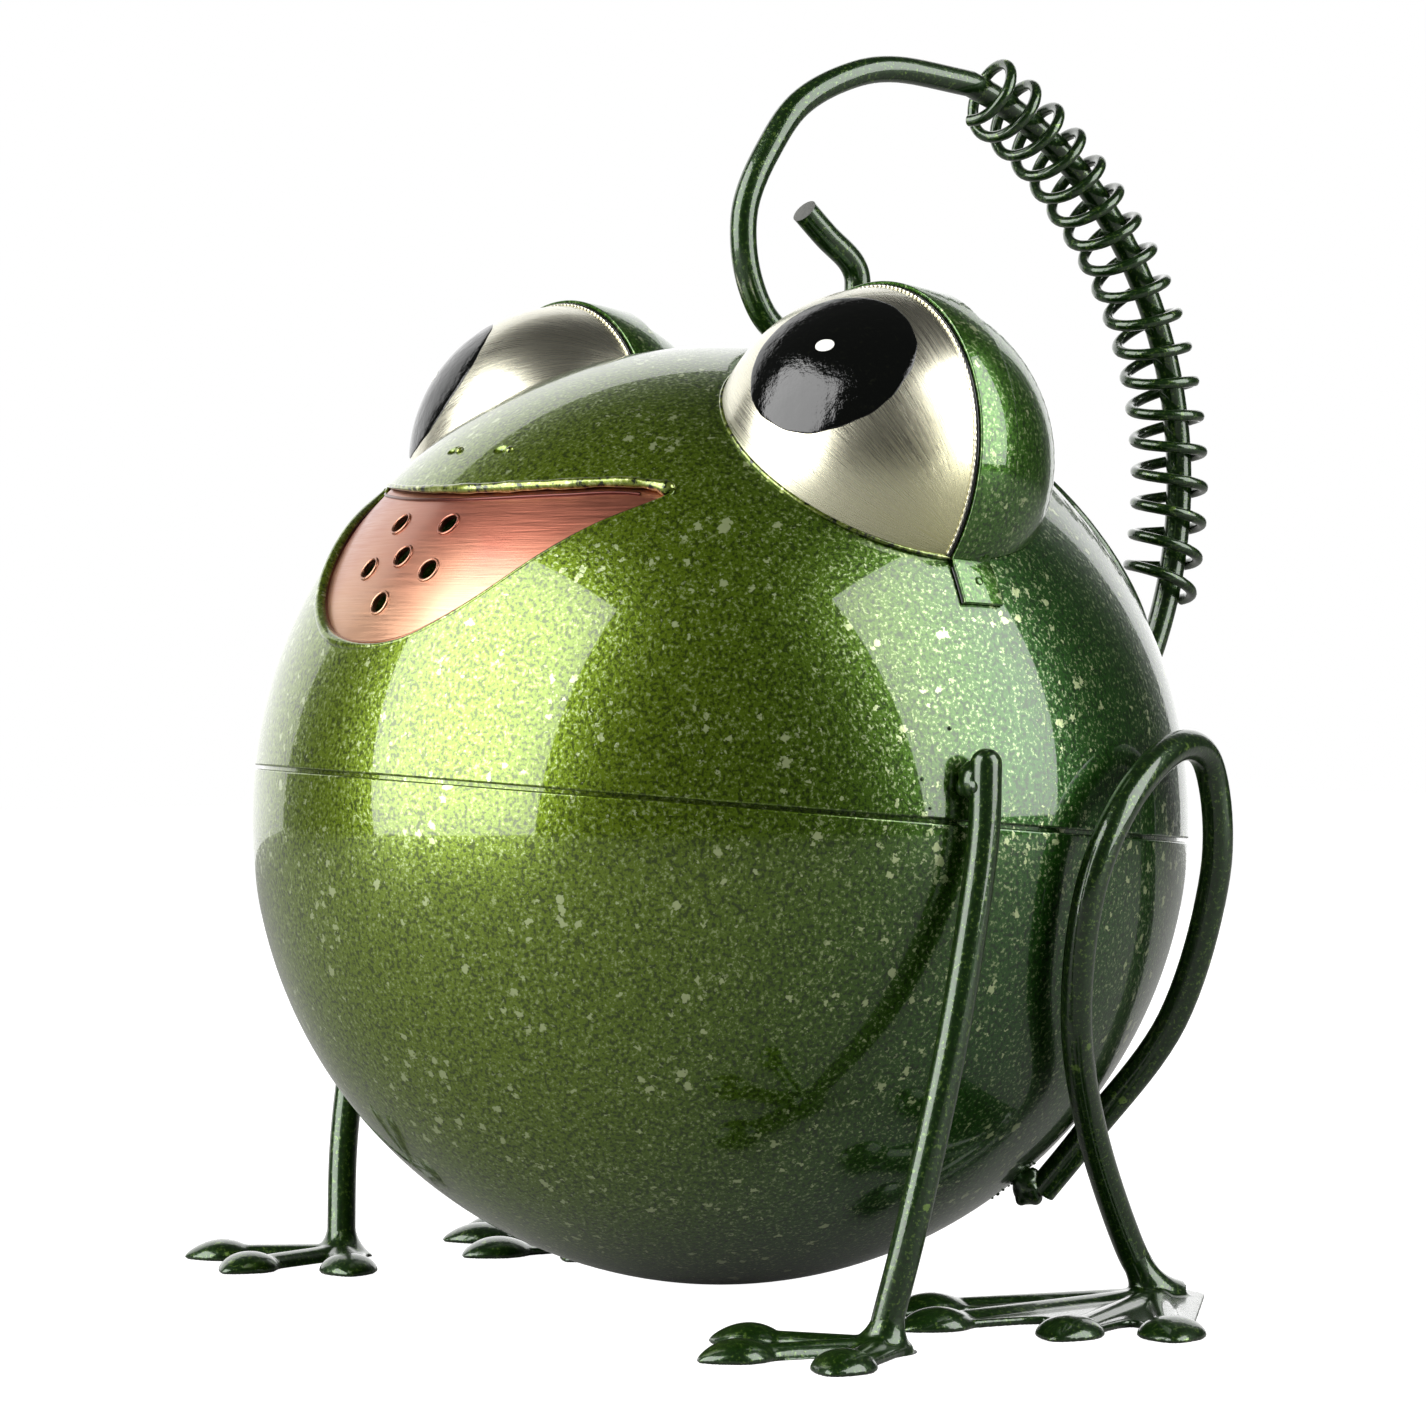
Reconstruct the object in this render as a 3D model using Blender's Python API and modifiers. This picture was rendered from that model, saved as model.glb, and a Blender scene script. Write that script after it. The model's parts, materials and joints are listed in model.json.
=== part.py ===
"""A frog-shaped watering can in painted sheet metal, as an assembly of its separate pieces.

Two pressed bowls make the body. The mouth is a punched pouring rose, the eyes are quarter-sphere shells
held down by straps, and bent rods make the legs and the handle. A loose wire coil on the handle is the grip.

Lengths below are in millimetres and angles in degrees, unless a name says otherwise. The frog faces -Y,
its left side is +X, and the origin lies on the floor under the middle of its bounding box. The body has a
frame of its own, at the centre of its sphere, tipped nose up and a little to its left on the bent legs.
"""

import math

import bmesh
import bpy
from mathutils import Matrix, Vector

MM = 0.001
OBJECT_NAME = "frog_watering_can"

# Fits
SHEET = 0.8  # wall of every pressed sheet part
GAP = 0.3  # clearance between pieces that touch
SCREW_MERGE = 0.00001  # metres

# Body
BODY_RADIUS = 85.0
BODY_HEIGHT = 86.3  # centre of the sphere above the floor
BODY_SHIFT_Y = -16.4
BODY_PITCH = 4.4  # nose up
BODY_LEAN = 1.7  # to the frog's left
BODY_STEPS = 40
BODY_RINGS = 10  # from the seam to the pole
SEAM_HEIGHT = 2.0  # above the centre of the sphere
LIP_HEIGHT = 5.0
LIP_RADIUS = 83.4  # outside of the lap that rises inside the upper bowl

# Mouth: right half of its outline in the body's XZ plane, from the middle of the upper lip to the chin
MOUTH_HALF = [
    (0.0, 52.6), (12.0, 52.9), (26.0, 54.0), (36.0, 55.0), (42.5, 54.2), (42.6, 52.0), (36.6, 46.6),
    (31.5, 41.2), (24.9, 34.0), (18.4, 29.0), (10.4, 25.2), (0.0, 23.9),
]
ROSE_LAP = 1.8
ROSE_HOLE_RADIUS = 1.95
ROSE_HOLES = [(0.0, 40.2), (7.3, 46.2), (-7.3, 46.2), (9.1, 37.9), (-9.1, 37.9), (0.0, 31.8)]  # x, z
CUT_SPAN = (40.0, 100.0)  # distances from the centre between which an opening's cutter reaches
NOSTRIL = (7.3, 45.0)  # x, latitude
NOSTRIL_RADIUS = 2.2
NOSTRIL_DEPTH = 0.45

# Filler opening at the back of the head
FILLER_LATITUDE = 42.0
FILLER_HALF_WIDTH = 47.0
FILLER_HALF_HEIGHT = 34.0
FILLER_BEAD_RADIUS = 1.2

# Eyes
EYE_CENTRE = (46.2, -6.8, 63.5)
EYE_RADIUS = 30.1
EYE_STEPS = 20
STRAP_WIDTH = 7.6
STRAP_THICKNESS = 0.7
STRAP_TAB = 5.6  # degrees of the head's curve that a tab covers

# Handle: an arc in the body's YZ plane, then hand-bent to a curl on top of the head
ROD_RADIUS = 2.5
ARC_CENTRE = (29.2, 64.1)  # y, z
ARC_RADIUS = 78.6
ARC_START = -46.0
ARC_END = 78.0
CURL = [
    (27.6, 140.8), (15.9, 137.5), (5.1, 130.6), (-1.5, 120.6), (-5.0, 111.7), (-5.0, 104.0), (-2.6, 96.6),
    (1.9, 90.6), (8.6, 87.7), (15.8, 88.9), (21.4, 94.0), (22.4, 99.9), (20.3, 103.9), (14.1, 107.7),
    (8.5, 111.6),
]  # y, z
REAR_WELD = (ARC_START + 2.5, ARC_RADIUS)
REAR_WELD_RADII = (4.2, 3.6, 4.6)
FRONT_HANDLE_WELD = (0.0, 9.0, 86.2)
FRONT_HANDLE_WELD_RADII = (4.0, 5.5, 2.2)

# Grip coil
COIL_TURNS = 17.5
COIL_POINTS_PER_TURN = 10
COIL_WIRE_RADIUS = 1.1
COIL_MEAN_RADIUS = 6.6
COIL_SAG = 2.6  # the loose coil hangs this far inside the rod's arc
COIL_FROM = -10.5
COIL_TO = 76.2
COIL_RISE_TURNS = 5  # at the upper end, over which the coil comes back up on to the rod

# Legs, left side: points relative to the centre of the sphere, not tipped with the body
LEG_RADIUS = 2.7
FRONT_LEG = [
    (88.0, -12.8, 10.4), (88.2, -13.6, -2.0), (88.2, -16.7, -19.0), (87.4, -20.6, -38.7),
    (85.0, -25.8, -63.6), (80.9, -29.2, -84.3),
]
HIND_LEG = [
    (62.1, 50.1, -84.3), (61.7, 43.9, -75.9), (70.0, 27.4, -54.1), (82.9, 12.0, -32.6), (88.8, 9.8, -10.9),
    (89.4, 18.1, 4.6), (84.7, 34.2, 13.0), (79.7, 46.4, 8.8), (77.6, 49.6, -9.8), (67.0, 49.4, -35.8),
    (52.1, 42.9, -56.5), (44.6, 38.4, -67.2),
]
FRONT_WELD = (86.4, -13.6, 7.4)
HIND_WELD = (43.0, 36.6, -66.6)
LEG_WELD_RADII = (3.2, 3.4, 3.8)

# Feet, left side
PLATE = 1.4
PAD_HEIGHT = 3.6
MOUND_RADIUS = 5.2
MOUND_HEIGHT = 5.6
FRONT_ANKLE = (80.9, -29.2)
FRONT_TOES = [(-55.6, 22.7), (-105.0, 25.8), (-150.0, 23.6)]  # direction, length
FRONT_PAD = (7.4, 5.6)  # half length, half width
HIND_ANKLE = (62.1, 50.1)
HIND_TOES = [(-40.0, 46.0), (-60.5, 48.8), (-87.0, 53.7), (-106.0, 44.0)]
HIND_PAD = (8.2, 6.0)

# Colours, linear RGB
GREEN = (0.045, 0.13, 0.018)
DARK_GREEN = (0.018, 0.055, 0.014)
COPPER = (0.72, 0.33, 0.28)
SILVER = (0.78, 0.77, 0.66)


def clear_scene():
    """Remove whatever the file starts with."""
    for obj in list(bpy.data.objects):
        bpy.data.objects.remove(obj, do_unlink=True)


def add_collection(name, hidden=False):
    """Add a collection to the scene; a hidden one holds the cutters."""
    collection = bpy.data.collections.new(name)
    collection.hide_render = hidden
    bpy.context.scene.collection.children.link(collection)
    return collection


def make_paint(name, colour, metallic, roughness):
    """A Principled material."""
    paint = bpy.data.materials.new(name)
    paint.use_nodes = True
    shader = paint.node_tree.nodes["Principled BSDF"]
    shader.inputs["Base Color"].default_value = (*colour, 1.0)
    shader.inputs["Metallic"].default_value = metallic
    shader.inputs["Roughness"].default_value = roughness
    return paint


def metres(point):
    """A vector in metres from a point in millimetres."""
    return Vector(point) * MM


def body_point(longitude, latitude, radius):
    """A point about the body's centre, at a longitude from the nose towards the frog's left."""
    east, north = math.radians(longitude), math.radians(latitude)
    return (
        radius * math.sin(east) * math.cos(north),
        -radius * math.cos(east) * math.cos(north),
        radius * math.sin(north),
    )


def smooth_path(points, per_span):
    """Points along a Catmull-Rom curve through the given ones."""
    knots = [Vector(p) for p in points]
    knots = [2 * knots[0] - knots[1], *knots, 2 * knots[-1] - knots[-2]]
    path = []
    for a, b, c, d in zip(knots, knots[1:], knots[2:], knots[3:]):
        for step in range(per_span):
            t = step / per_span
            square = (2 * a - 5 * b + 4 * c - d) * t**2
            cube = (3 * b - a - 3 * c + d) * t**3
            path.append(0.5 * (2 * b + (c - a) * t + square + cube))
    return [*path, knots[-2]]


class Workshop:
    """Adds the pieces and their cutters to the scene."""

    def __init__(self):
        self.parts = add_collection(OBJECT_NAME)
        self.cutters = add_collection("cutters", hidden=True)
        self.stance = self.add_empty("stance", Matrix.Translation(metres((0, BODY_SHIFT_Y, BODY_HEIGHT))))
        tip = Matrix.Rotation(math.radians(-BODY_PITCH), 4, "X")
        lean = Matrix.Rotation(math.radians(BODY_LEAN), 4, "Y")
        self.body = self.add_empty("body_frame", tip @ lean, self.stance)
        self.green = make_paint("green_enamel", GREEN, 0.3, 0.2)
        self.dark = make_paint("dark_green_enamel", DARK_GREEN, 0.3, 0.2)
        self.copper = make_paint("copper_lacquer", COPPER, 1.0, 0.35)
        self.silver = make_paint("brushed_silver", SILVER, 1.0, 0.3)

    def add_empty(self, name, matrix, parent=None):
        """An empty in the parts' collection."""
        empty = bpy.data.objects.new(name, None)
        empty.parent = parent
        empty.matrix_local = matrix
        self.parts.objects.link(empty)
        return empty

    def add(self, name, data, parent, paint=None, matrix=None):
        """A part if it has a paint, or else a cutter."""
        obj = bpy.data.objects.new(name, data)
        obj.parent = parent
        obj.matrix_local = matrix or Matrix.Identity(4)
        if paint:
            data.materials.append(paint)
            self.parts.objects.link(obj)
        else:
            obj.hide_render = True
            obj.display_type = "WIRE"
            self.cutters.objects.link(obj)
        return obj

    def turned(self, name, profile, steps, parent, paint, matrix=None):
        """A shell: a profile of (radius, height), top to bottom, turned about Z and given a sheet wall."""
        mesh = bpy.data.meshes.new(name)
        steps_down = [(i, i + 1) for i in range(len(profile) - 1)]
        mesh.from_pydata([metres((r, 0, z)) for r, z in profile], steps_down, [])
        shell = self.add(name, mesh, parent, paint, matrix)
        screw = shell.modifiers.new("Turn", "SCREW")
        screw.steps = steps
        screw.render_steps = steps
        screw.use_merge_vertices = True
        screw.merge_threshold = SCREW_MERGE
        wall = shell.modifiers.new("Wall", "SOLIDIFY")
        wall.thickness = SHEET * MM
        wall.offset = -1.0
        wall.use_even_offset = True
        return shell

    def prism(self, name, outline, low, high, parent, paint=None, matrix=None):
        """A flat outline in XY raised from low to high along Z."""
        bm = bmesh.new()
        face = bm.faces.new([bm.verts.new(metres((x, y, low))) for x, y in outline])
        raised = bmesh.ops.extrude_face_region(bm, geom=[face])["geom"]
        top = [item for item in raised if isinstance(item, bmesh.types.BMVert)]
        bmesh.ops.translate(bm, verts=top, vec=metres((0, 0, high - low)))
        bmesh.ops.recalc_face_normals(bm, faces=bm.faces)
        mesh = bpy.data.meshes.new(name)
        bm.to_mesh(mesh)
        bm.free()
        return self.add(name, mesh, parent, paint, matrix)

    def ball(self, name, centre, radii, parent, turn=0.0, segments=16, floor=None):
        """An ellipsoid helper, turned about Z, with nothing below the floor height."""
        bm = bmesh.new()
        bmesh.ops.create_uvsphere(bm, u_segments=segments, v_segments=segments // 2, radius=1.0)
        shape = Matrix.Translation(metres(centre)) @ Matrix.Rotation(math.radians(turn), 4, "Z")
        bmesh.ops.transform(bm, matrix=shape @ Matrix.Diagonal((*metres(radii), 1.0)), verts=bm.verts)
        if floor is not None:
            every = [*bm.verts, *bm.edges, *bm.faces]
            bmesh.ops.bisect_plane(
                bm, geom=every, plane_co=metres((0, 0, floor)), plane_no=(0, 0, -1), clear_outer=True
            )
            bmesh.ops.holes_fill(bm, edges=bm.edges)
        mesh = bpy.data.meshes.new(name)
        bm.to_mesh(mesh)
        bm.free()
        return self.add(name, mesh, parent)

    def wire(self, name, points, radius, parent, paint, radii=None, cyclic=False):
        """A round wire along points, as a curve with filled caps."""
        curve = bpy.data.curves.new(name, "CURVE")
        curve.dimensions = "3D"
        curve.bevel_depth = radius * MM
        curve.bevel_resolution = 2
        curve.use_fill_caps = True
        spline = curve.splines.new("POLY")
        spline.points.add(len(points) - 1)
        for knot, point, scale in zip(spline.points, points, radii or [1.0] * len(points)):
            knot.co = (*metres(point), 1.0)
            knot.radius = scale
        spline.use_cyclic_u = cyclic
        return self.add(name, curve, parent, paint)

    def meshed(self, wire):
        """The same wire as a mesh, which a Boolean can cut."""
        bpy.context.view_layer.update()
        graph = bpy.context.evaluated_depsgraph_get()
        mesh = bpy.data.meshes.new_from_object(wire.evaluated_get(graph))
        bm = bmesh.new()
        bm.from_mesh(mesh)
        bmesh.ops.remove_doubles(bm, verts=bm.verts, dist=SCREW_MERGE)
        bm.to_mesh(mesh)
        bm.free()
        name, parent, matrix = wire.name, wire.parent, wire.matrix_world.copy()
        bpy.data.objects.remove(wire, do_unlink=True)
        rod = bpy.data.objects.new(name, mesh)
        self.parts.objects.link(rod)
        rod.parent = parent
        rod.matrix_world = matrix
        return rod


def combine(part, other, operation):
    """A live Boolean of one object with another."""
    step = part.modifiers.new(f"{operation.title()} {other.name}", "BOOLEAN")
    step.operation = operation
    step.object = other


def shade(part):
    """Smooth shading that keeps the edges between sheet faces crisp."""
    if part.type == "MESH" and part.data.polygons:
        part.data.shade_smooth()
        part.data.set_sharp_from_angle(angle=math.radians(40))


def bowl_profile(radius, first, last, rings):
    """(radius, height) down a sphere between two latitudes."""
    angles = [math.radians(first + (last - first) * i / rings) for i in range(rings + 1)]
    return [(radius * math.cos(a) if abs(a) < 1.57 else 0.0, radius * math.sin(a)) for a in angles]


def mouth_outline(grow):
    """The whole mouth outline in the body's XZ plane, offset outwards."""
    right = [Vector(p) for p in MOUTH_HALF]
    left = [Vector((-x, z)) for x, z in reversed(MOUTH_HALF[1:-1])]
    loop = [*right, *left]
    grown = []
    for before, here, after in zip([loop[-1], *loop], loop, [*loop[1:], loop[0]]):
        along = ((here - before).normalized() + (after - here).normalized()).normalized()
        grown.append(here + grow * Vector((-along.y, along.x)))
    return [tuple(p) for p in grown]


def seam_latitude(above):
    """The latitude on the body of a height above the seam."""
    return math.degrees(math.asin((SEAM_HEIGHT + above) / BODY_RADIUS))


def add_bowls(shop):
    """The two pressed halves of the body, lapped at the seam."""
    dome = bowl_profile(BODY_RADIUS, 90, seam_latitude(GAP), BODY_RINGS)
    upper = shop.turned("upper_shell", dome, BODY_STEPS, shop.body, shop.green)
    bowl = bowl_profile(BODY_RADIUS, seam_latitude(0), -90, BODY_RINGS)
    lap = [(LIP_RADIUS, SEAM_HEIGHT + LIP_HEIGHT), (LIP_RADIUS, SEAM_HEIGHT)]
    shop.turned("lower_shell", [*lap, *bowl], BODY_STEPS, shop.body, shop.green)

    mouth = shop.prism("mouth_cutter", mouth_outline(0), *CUT_SPAN, shop.body, matrix=facing_forward())
    combine(upper, mouth, "DIFFERENCE")
    filler = shop.prism("filler_cutter", filler_outline(0), *CUT_SPAN, shop.body, matrix=filler_matrix())
    combine(upper, filler, "DIFFERENCE")
    for side in (1, -1):
        x, latitude = NOSTRIL
        longitude = math.degrees(math.asin(x / (BODY_RADIUS * math.cos(math.radians(latitude)))))
        centre = body_point(side * longitude, latitude, BODY_RADIUS + NOSTRIL_RADIUS - NOSTRIL_DEPTH)
        dent = shop.ball(f"nostril_{side}", centre, (NOSTRIL_RADIUS,) * 3, shop.body, segments=12)
        combine(upper, dent, "DIFFERENCE")


def facing_forward():
    """A frame at the body's centre that stands an outline up in the body's XZ plane, with Z out of the nose."""
    return Matrix.Rotation(math.radians(90), 4, "X")


def add_rose(shop):
    """The punched plate behind the mouth opening."""
    radius = BODY_RADIUS - SHEET - GAP
    middle = (90 + seam_latitude(GAP)) / 2
    zone = bowl_profile(radius, middle, seam_latitude(GAP), BODY_RINGS // 2)
    rose = shop.turned("mouth_rose", zone, BODY_STEPS, shop.body, shop.copper)
    blank = shop.prism("rose_blank", mouth_outline(ROSE_LAP), *CUT_SPAN, shop.body, matrix=facing_forward())
    combine(rose, blank, "INTERSECT")
    for index, (x, z) in enumerate(ROSE_HOLES):
        out = Vector((x, -math.sqrt(radius**2 - x**2 - z**2), z))
        punch_matrix = Matrix.Translation(metres(out)) @ out.to_track_quat("Z", "Y").to_matrix().to_4x4()
        circle = oval(ROSE_HOLE_RADIUS, ROSE_HOLE_RADIUS, 16)
        punch = shop.prism(f"rose_punch_{index}", circle, -4, 4, shop.body, matrix=punch_matrix)
        combine(rose, punch, "DIFFERENCE")


def filler_matrix():
    """A frame at the body's centre whose Z points out through the filler opening."""
    return Matrix.Rotation(math.radians(FILLER_LATITUDE - 90), 4, "X")


def oval(half_width, half_height, count):
    """Points round an ellipse."""
    turns = [math.tau * i / count for i in range(count)]
    return [(half_width * math.cos(t), half_height * math.sin(t)) for t in turns]


def filler_outline(inset):
    """The oval of the filler opening."""
    return oval(FILLER_HALF_WIDTH - inset, FILLER_HALF_HEIGHT - inset, 36)


def add_filler_rim(shop):
    """The wired bead round the filler opening."""
    frame = filler_matrix()
    middle = BODY_RADIUS - SHEET / 2
    rim = [
        frame @ Vector((x, y, math.sqrt(middle**2 - x**2 - y**2)))
        for x, y in filler_outline(FILLER_BEAD_RADIUS + GAP)
    ]
    shop.wire("filler_rim", rim, FILLER_BEAD_RADIUS, shop.body, shop.dark, cyclic=True)


def add_eye(shop, side, side_name):
    """One eye: a silver front shell, a green back shell and the strap over their joint."""
    centre = Vector((side * EYE_CENTRE[0], EYE_CENTRE[1], EYE_CENTRE[2]))
    edge = math.degrees(math.asin(GAP / 2 / EYE_RADIUS))
    profile = bowl_profile(EYE_RADIUS, 90, edge, EYE_STEPS // 3)
    for part, turn, paint in (("front", 90, shop.silver), ("back", -90, shop.green)):
        matrix = Matrix.Translation(metres(centre)) @ Matrix.Rotation(math.radians(turn), 4, "X")
        shell = shop.turned(f"eye_{part}_{side_name}", profile, EYE_STEPS, shop.body, paint, matrix)
        combine(shell, shop.head, "DIFFERENCE")
    add_strap(shop, side, side_name, centre)


def add_strap(shop, side, side_name, centre):
    """A spherical band over the eye, with a tab at each end that follows the head."""
    over_eye = EYE_RADIUS + GAP + STRAP_THICKNESS / 2
    over_head = BODY_RADIUS + GAP + STRAP_THICKNESS / 2
    reach = math.hypot(EYE_CENTRE[0], EYE_CENTRE[2])
    bearing = math.degrees(math.atan2(EYE_CENTRE[0], EYE_CENTRE[2]))
    flat = math.sqrt(over_head**2 - EYE_CENTRE[1] ** 2)
    meet_head = math.degrees(math.acos((flat**2 + reach**2 - over_eye**2) / (2 * flat * reach)))
    along = (flat**2 - over_eye**2 + reach**2) / (2 * reach) - reach
    meet_eye = math.degrees(math.acos(along / over_eye))
    arc_steps, tab_steps, rows = 20, 3, 3
    path = [("head", bearing - meet_head - STRAP_TAB * (1 - i / tab_steps)) for i in range(tab_steps)]
    path += [("eye", bearing - meet_eye + 2 * meet_eye * i / arc_steps) for i in range(arc_steps + 1)]
    path += [("head", bearing + meet_head + STRAP_TAB * (i + 1) / tab_steps) for i in range(tab_steps)]
    bm = bmesh.new()
    bmesh.ops.create_grid(bm, x_segments=len(path) - 1, y_segments=rows, size=0.5)
    for vert in bm.verts:
        surface, angle = path[round((vert.co.x + 0.5) * (len(path) - 1))]
        across = vert.co.y * STRAP_WIDTH
        base, radius = (centre, over_eye) if surface == "eye" else (Vector((0, 0, 0)), over_head)
        offset = across if surface == "eye" else across + EYE_CENTRE[1]
        in_plane = math.sqrt(radius**2 - offset**2)
        turn = math.radians(angle)
        swing = Vector((side * in_plane * math.sin(turn), offset, in_plane * math.cos(turn)))
        vert.co = metres(base + swing)
    mesh = bpy.data.meshes.new(f"eye_strap_{side_name}")
    bm.to_mesh(mesh)
    bm.free()
    strap = shop.add(mesh.name, mesh, shop.body, shop.green)
    wall = strap.modifiers.new("Wall", "SOLIDIFY")
    wall.thickness = STRAP_THICKNESS * MM
    wall.offset = 0.0
    wall.use_even_offset = True


def arc_point(angle, radius):
    """A point in the body's middle plane on a circle about the handle arc's centre."""
    turn = math.radians(angle)
    return (0.0, ARC_CENTRE[0] + radius * math.cos(turn), ARC_CENTRE[1] + radius * math.sin(turn))


def add_handle(shop):
    """The handle rod, welded to the back of the body and to the top of the head."""
    steps = 24
    arc = [arc_point(ARC_START + (ARC_END - ARC_START) * i / steps, ARC_RADIUS) for i in range(steps)]
    bend = smooth_path([arc_point(ARC_END, ARC_RADIUS), *[(0.0, y, z) for y, z in CURL]], 2)
    handle = shop.meshed(shop.wire("handle_rod", [*arc, *bend], ROD_RADIUS, shop.body, shop.dark))
    rear_weld = shop.ball("handle_rear_weld", arc_point(*REAR_WELD), REAR_WELD_RADII, shop.body)
    front_weld = shop.ball("handle_front_weld", FRONT_HANDLE_WELD, FRONT_HANDLE_WELD_RADII, shop.body)
    for weld in (rear_weld, front_weld):
        combine(handle, weld, "UNION")
    combine(handle, shop.head, "DIFFERENCE")


def add_grip_coil(shop):
    """The loose coil, wound about an arc concentric with the handle's. Its origin is at that arc's centre."""
    axle = shop.add_empty("grip_axis", Matrix.Translation(metres(arc_point(0, 0))), shop.body)
    count = round(COIL_TURNS * COIL_POINTS_PER_TURN)
    points = []
    for i in range(count + 1):
        along = math.radians(COIL_FROM + (COIL_TO - COIL_FROM) * i / count)
        turn = math.tau * i / COIL_POINTS_PER_TURN
        sag = COIL_SAG * min(1.0, COIL_TURNS * (1 - i / count) / COIL_RISE_TURNS)
        reach = ARC_RADIUS - sag + COIL_MEAN_RADIUS * math.cos(turn)
        points.append((COIL_MEAN_RADIUS * math.sin(turn), reach * math.cos(along), reach * math.sin(along)))
    shop.wire("grip_coil", points, COIL_WIRE_RADIUS, axle, shop.dark)


def add_leg(shop, name, side, points, weld, ankle, round_top):
    """A leg rod with its weld bead, coped to the body and to the mound on its foot."""
    path = smooth_path([(side * x, y, z) for x, y, z in points], 3 if round_top else 2)
    radii = [1.0] * len(path)
    if round_top:
        up = (path[0] - path[1]).normalized()
        dome = [math.radians(a) for a in (75, 50, 25)]
        path = [*[path[0] + LEG_RADIUS * math.sin(a) * up for a in dome], *path]
        radii = [*[math.cos(a) for a in dome], *radii]
    leg = shop.meshed(shop.wire(name, path, LEG_RADIUS, shop.stance, shop.dark, radii))
    weld_centre = (side * weld[0], weld[1], weld[2])
    bead = shop.ball(f"{name}_weld", weld_centre, LEG_WELD_RADII, shop.stance, segments=12)
    combine(leg, bead, "UNION")
    combine(leg, shop.head, "DIFFERENCE")
    clear = MOUND_RADIUS + GAP
    mound = (side * ankle[0], ankle[1], PLATE - BODY_HEIGHT)
    socket = shop.ball(f"{name}_socket", mound, (clear, clear, MOUND_HEIGHT - PLATE + GAP), shop.stance)
    combine(leg, socket, "DIFFERENCE")


def foot_outline(toes, tip_radius, valley, heel_radius):
    """A webbed outline about the ankle: a round end at each toe, a valley between toes and a round heel."""
    outline = []
    for number, (direction, length) in enumerate(toes):
        turn = math.radians(direction)
        middle = Vector((length * math.cos(turn), length * math.sin(turn)))
        for step in (90, 45, 0, -45, -90):
            edge = turn + math.radians(step)
            outline.append(tuple(middle + tip_radius * Vector((math.cos(edge), math.sin(edge)))))
        if number + 1 < len(toes):
            after, reach = toes[number + 1]
            between = math.radians((direction + after) / 2)
            depth = valley * (length + reach) / 2
            outline.append((depth * math.cos(between), depth * math.sin(between)))
    first, last = toes[-1][0] - 80, toes[0][0] + 80 - 360
    steps = 6
    for step in range(steps + 1):
        turn = math.radians(first + (last - first) * step / steps)
        outline.append((heel_radius * math.cos(turn), heel_radius * math.sin(turn)))
    return outline


def add_foot(shop, name, side, ankle, toes, pad, valley, heel_radius):
    """A pressed foot: a flat plate with a domed pad on each toe and a mound where the leg is welded on."""
    tip_radius = 0.55 * pad[1]
    outline = [
        (side * (ankle[0] + x), ankle[1] + y) for x, y in foot_outline(toes, tip_radius, valley, heel_radius)
    ]
    foot = shop.prism(name, outline, -BODY_HEIGHT, PLATE - BODY_HEIGHT, shop.stance, shop.dark)
    floor = 0.1 - BODY_HEIGHT
    for number, (direction, length) in enumerate(toes):
        turn = math.radians(direction)
        centre = (side * (ankle[0] + length * math.cos(turn)), ankle[1] + length * math.sin(turn), floor)
        radii = (pad[0], pad[1], PAD_HEIGHT)
        angle = direction if side > 0 else 180 - direction
        dome = shop.ball(f"{name}_pad_{number}", centre, radii, shop.stance, angle, segments=14, floor=floor)
        combine(foot, dome, "UNION")
    mound_centre = (side * ankle[0], ankle[1], PLATE - BODY_HEIGHT)
    radii = (MOUND_RADIUS, MOUND_RADIUS, MOUND_HEIGHT - PLATE)
    mound = shop.ball(f"{name}_mound", mound_centre, radii, shop.stance, floor=0.5 - BODY_HEIGHT)
    combine(foot, mound, "UNION")


def main():
    """Build the whole can."""
    clear_scene()
    shop = Workshop()
    clear = BODY_RADIUS + GAP
    shop.head = shop.ball("head_clearance", (0, 0, 0), (clear, clear, clear), shop.body, segments=64)
    add_bowls(shop)
    add_rose(shop)
    add_filler_rim(shop)
    add_handle(shop)
    add_grip_coil(shop)
    for side, side_name in ((1, "left"), (-1, "right")):
        add_eye(shop, side, side_name)
        add_leg(shop, f"front_leg_{side_name}", side, FRONT_LEG, FRONT_WELD, FRONT_ANKLE, True)
        add_leg(shop, f"hind_leg_{side_name}", side, HIND_LEG, HIND_WELD, HIND_ANKLE, False)
        add_foot(shop, f"front_foot_{side_name}", side, FRONT_ANKLE, FRONT_TOES, FRONT_PAD, 0.3, 5.0)
        add_foot(shop, f"hind_foot_{side_name}", side, HIND_ANKLE, HIND_TOES, HIND_PAD, 0.74, 8.5)
    for part in shop.parts.objects:
        shade(part)


main()
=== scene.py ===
"""A frog-shaped metal watering can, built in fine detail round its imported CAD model.

Lengths are in millimetres until a mesh is made, and angles in degrees, unless a name says otherwise.
Pieces fixed to the body are built in the body's own frame: its origin is the centre of the body's sphere,
-Y points out through the nose, +X to the frog's left and +Z up. Legs and feet stand upright about the same
centre.
"""

from __future__ import annotations

import json
import logging
import math
import random
from collections.abc import Callable, Sequence
from dataclasses import dataclass, field
from enum import Enum
from typing import Any

import bmesh
import bpy
from mathutils import Matrix, Vector

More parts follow.
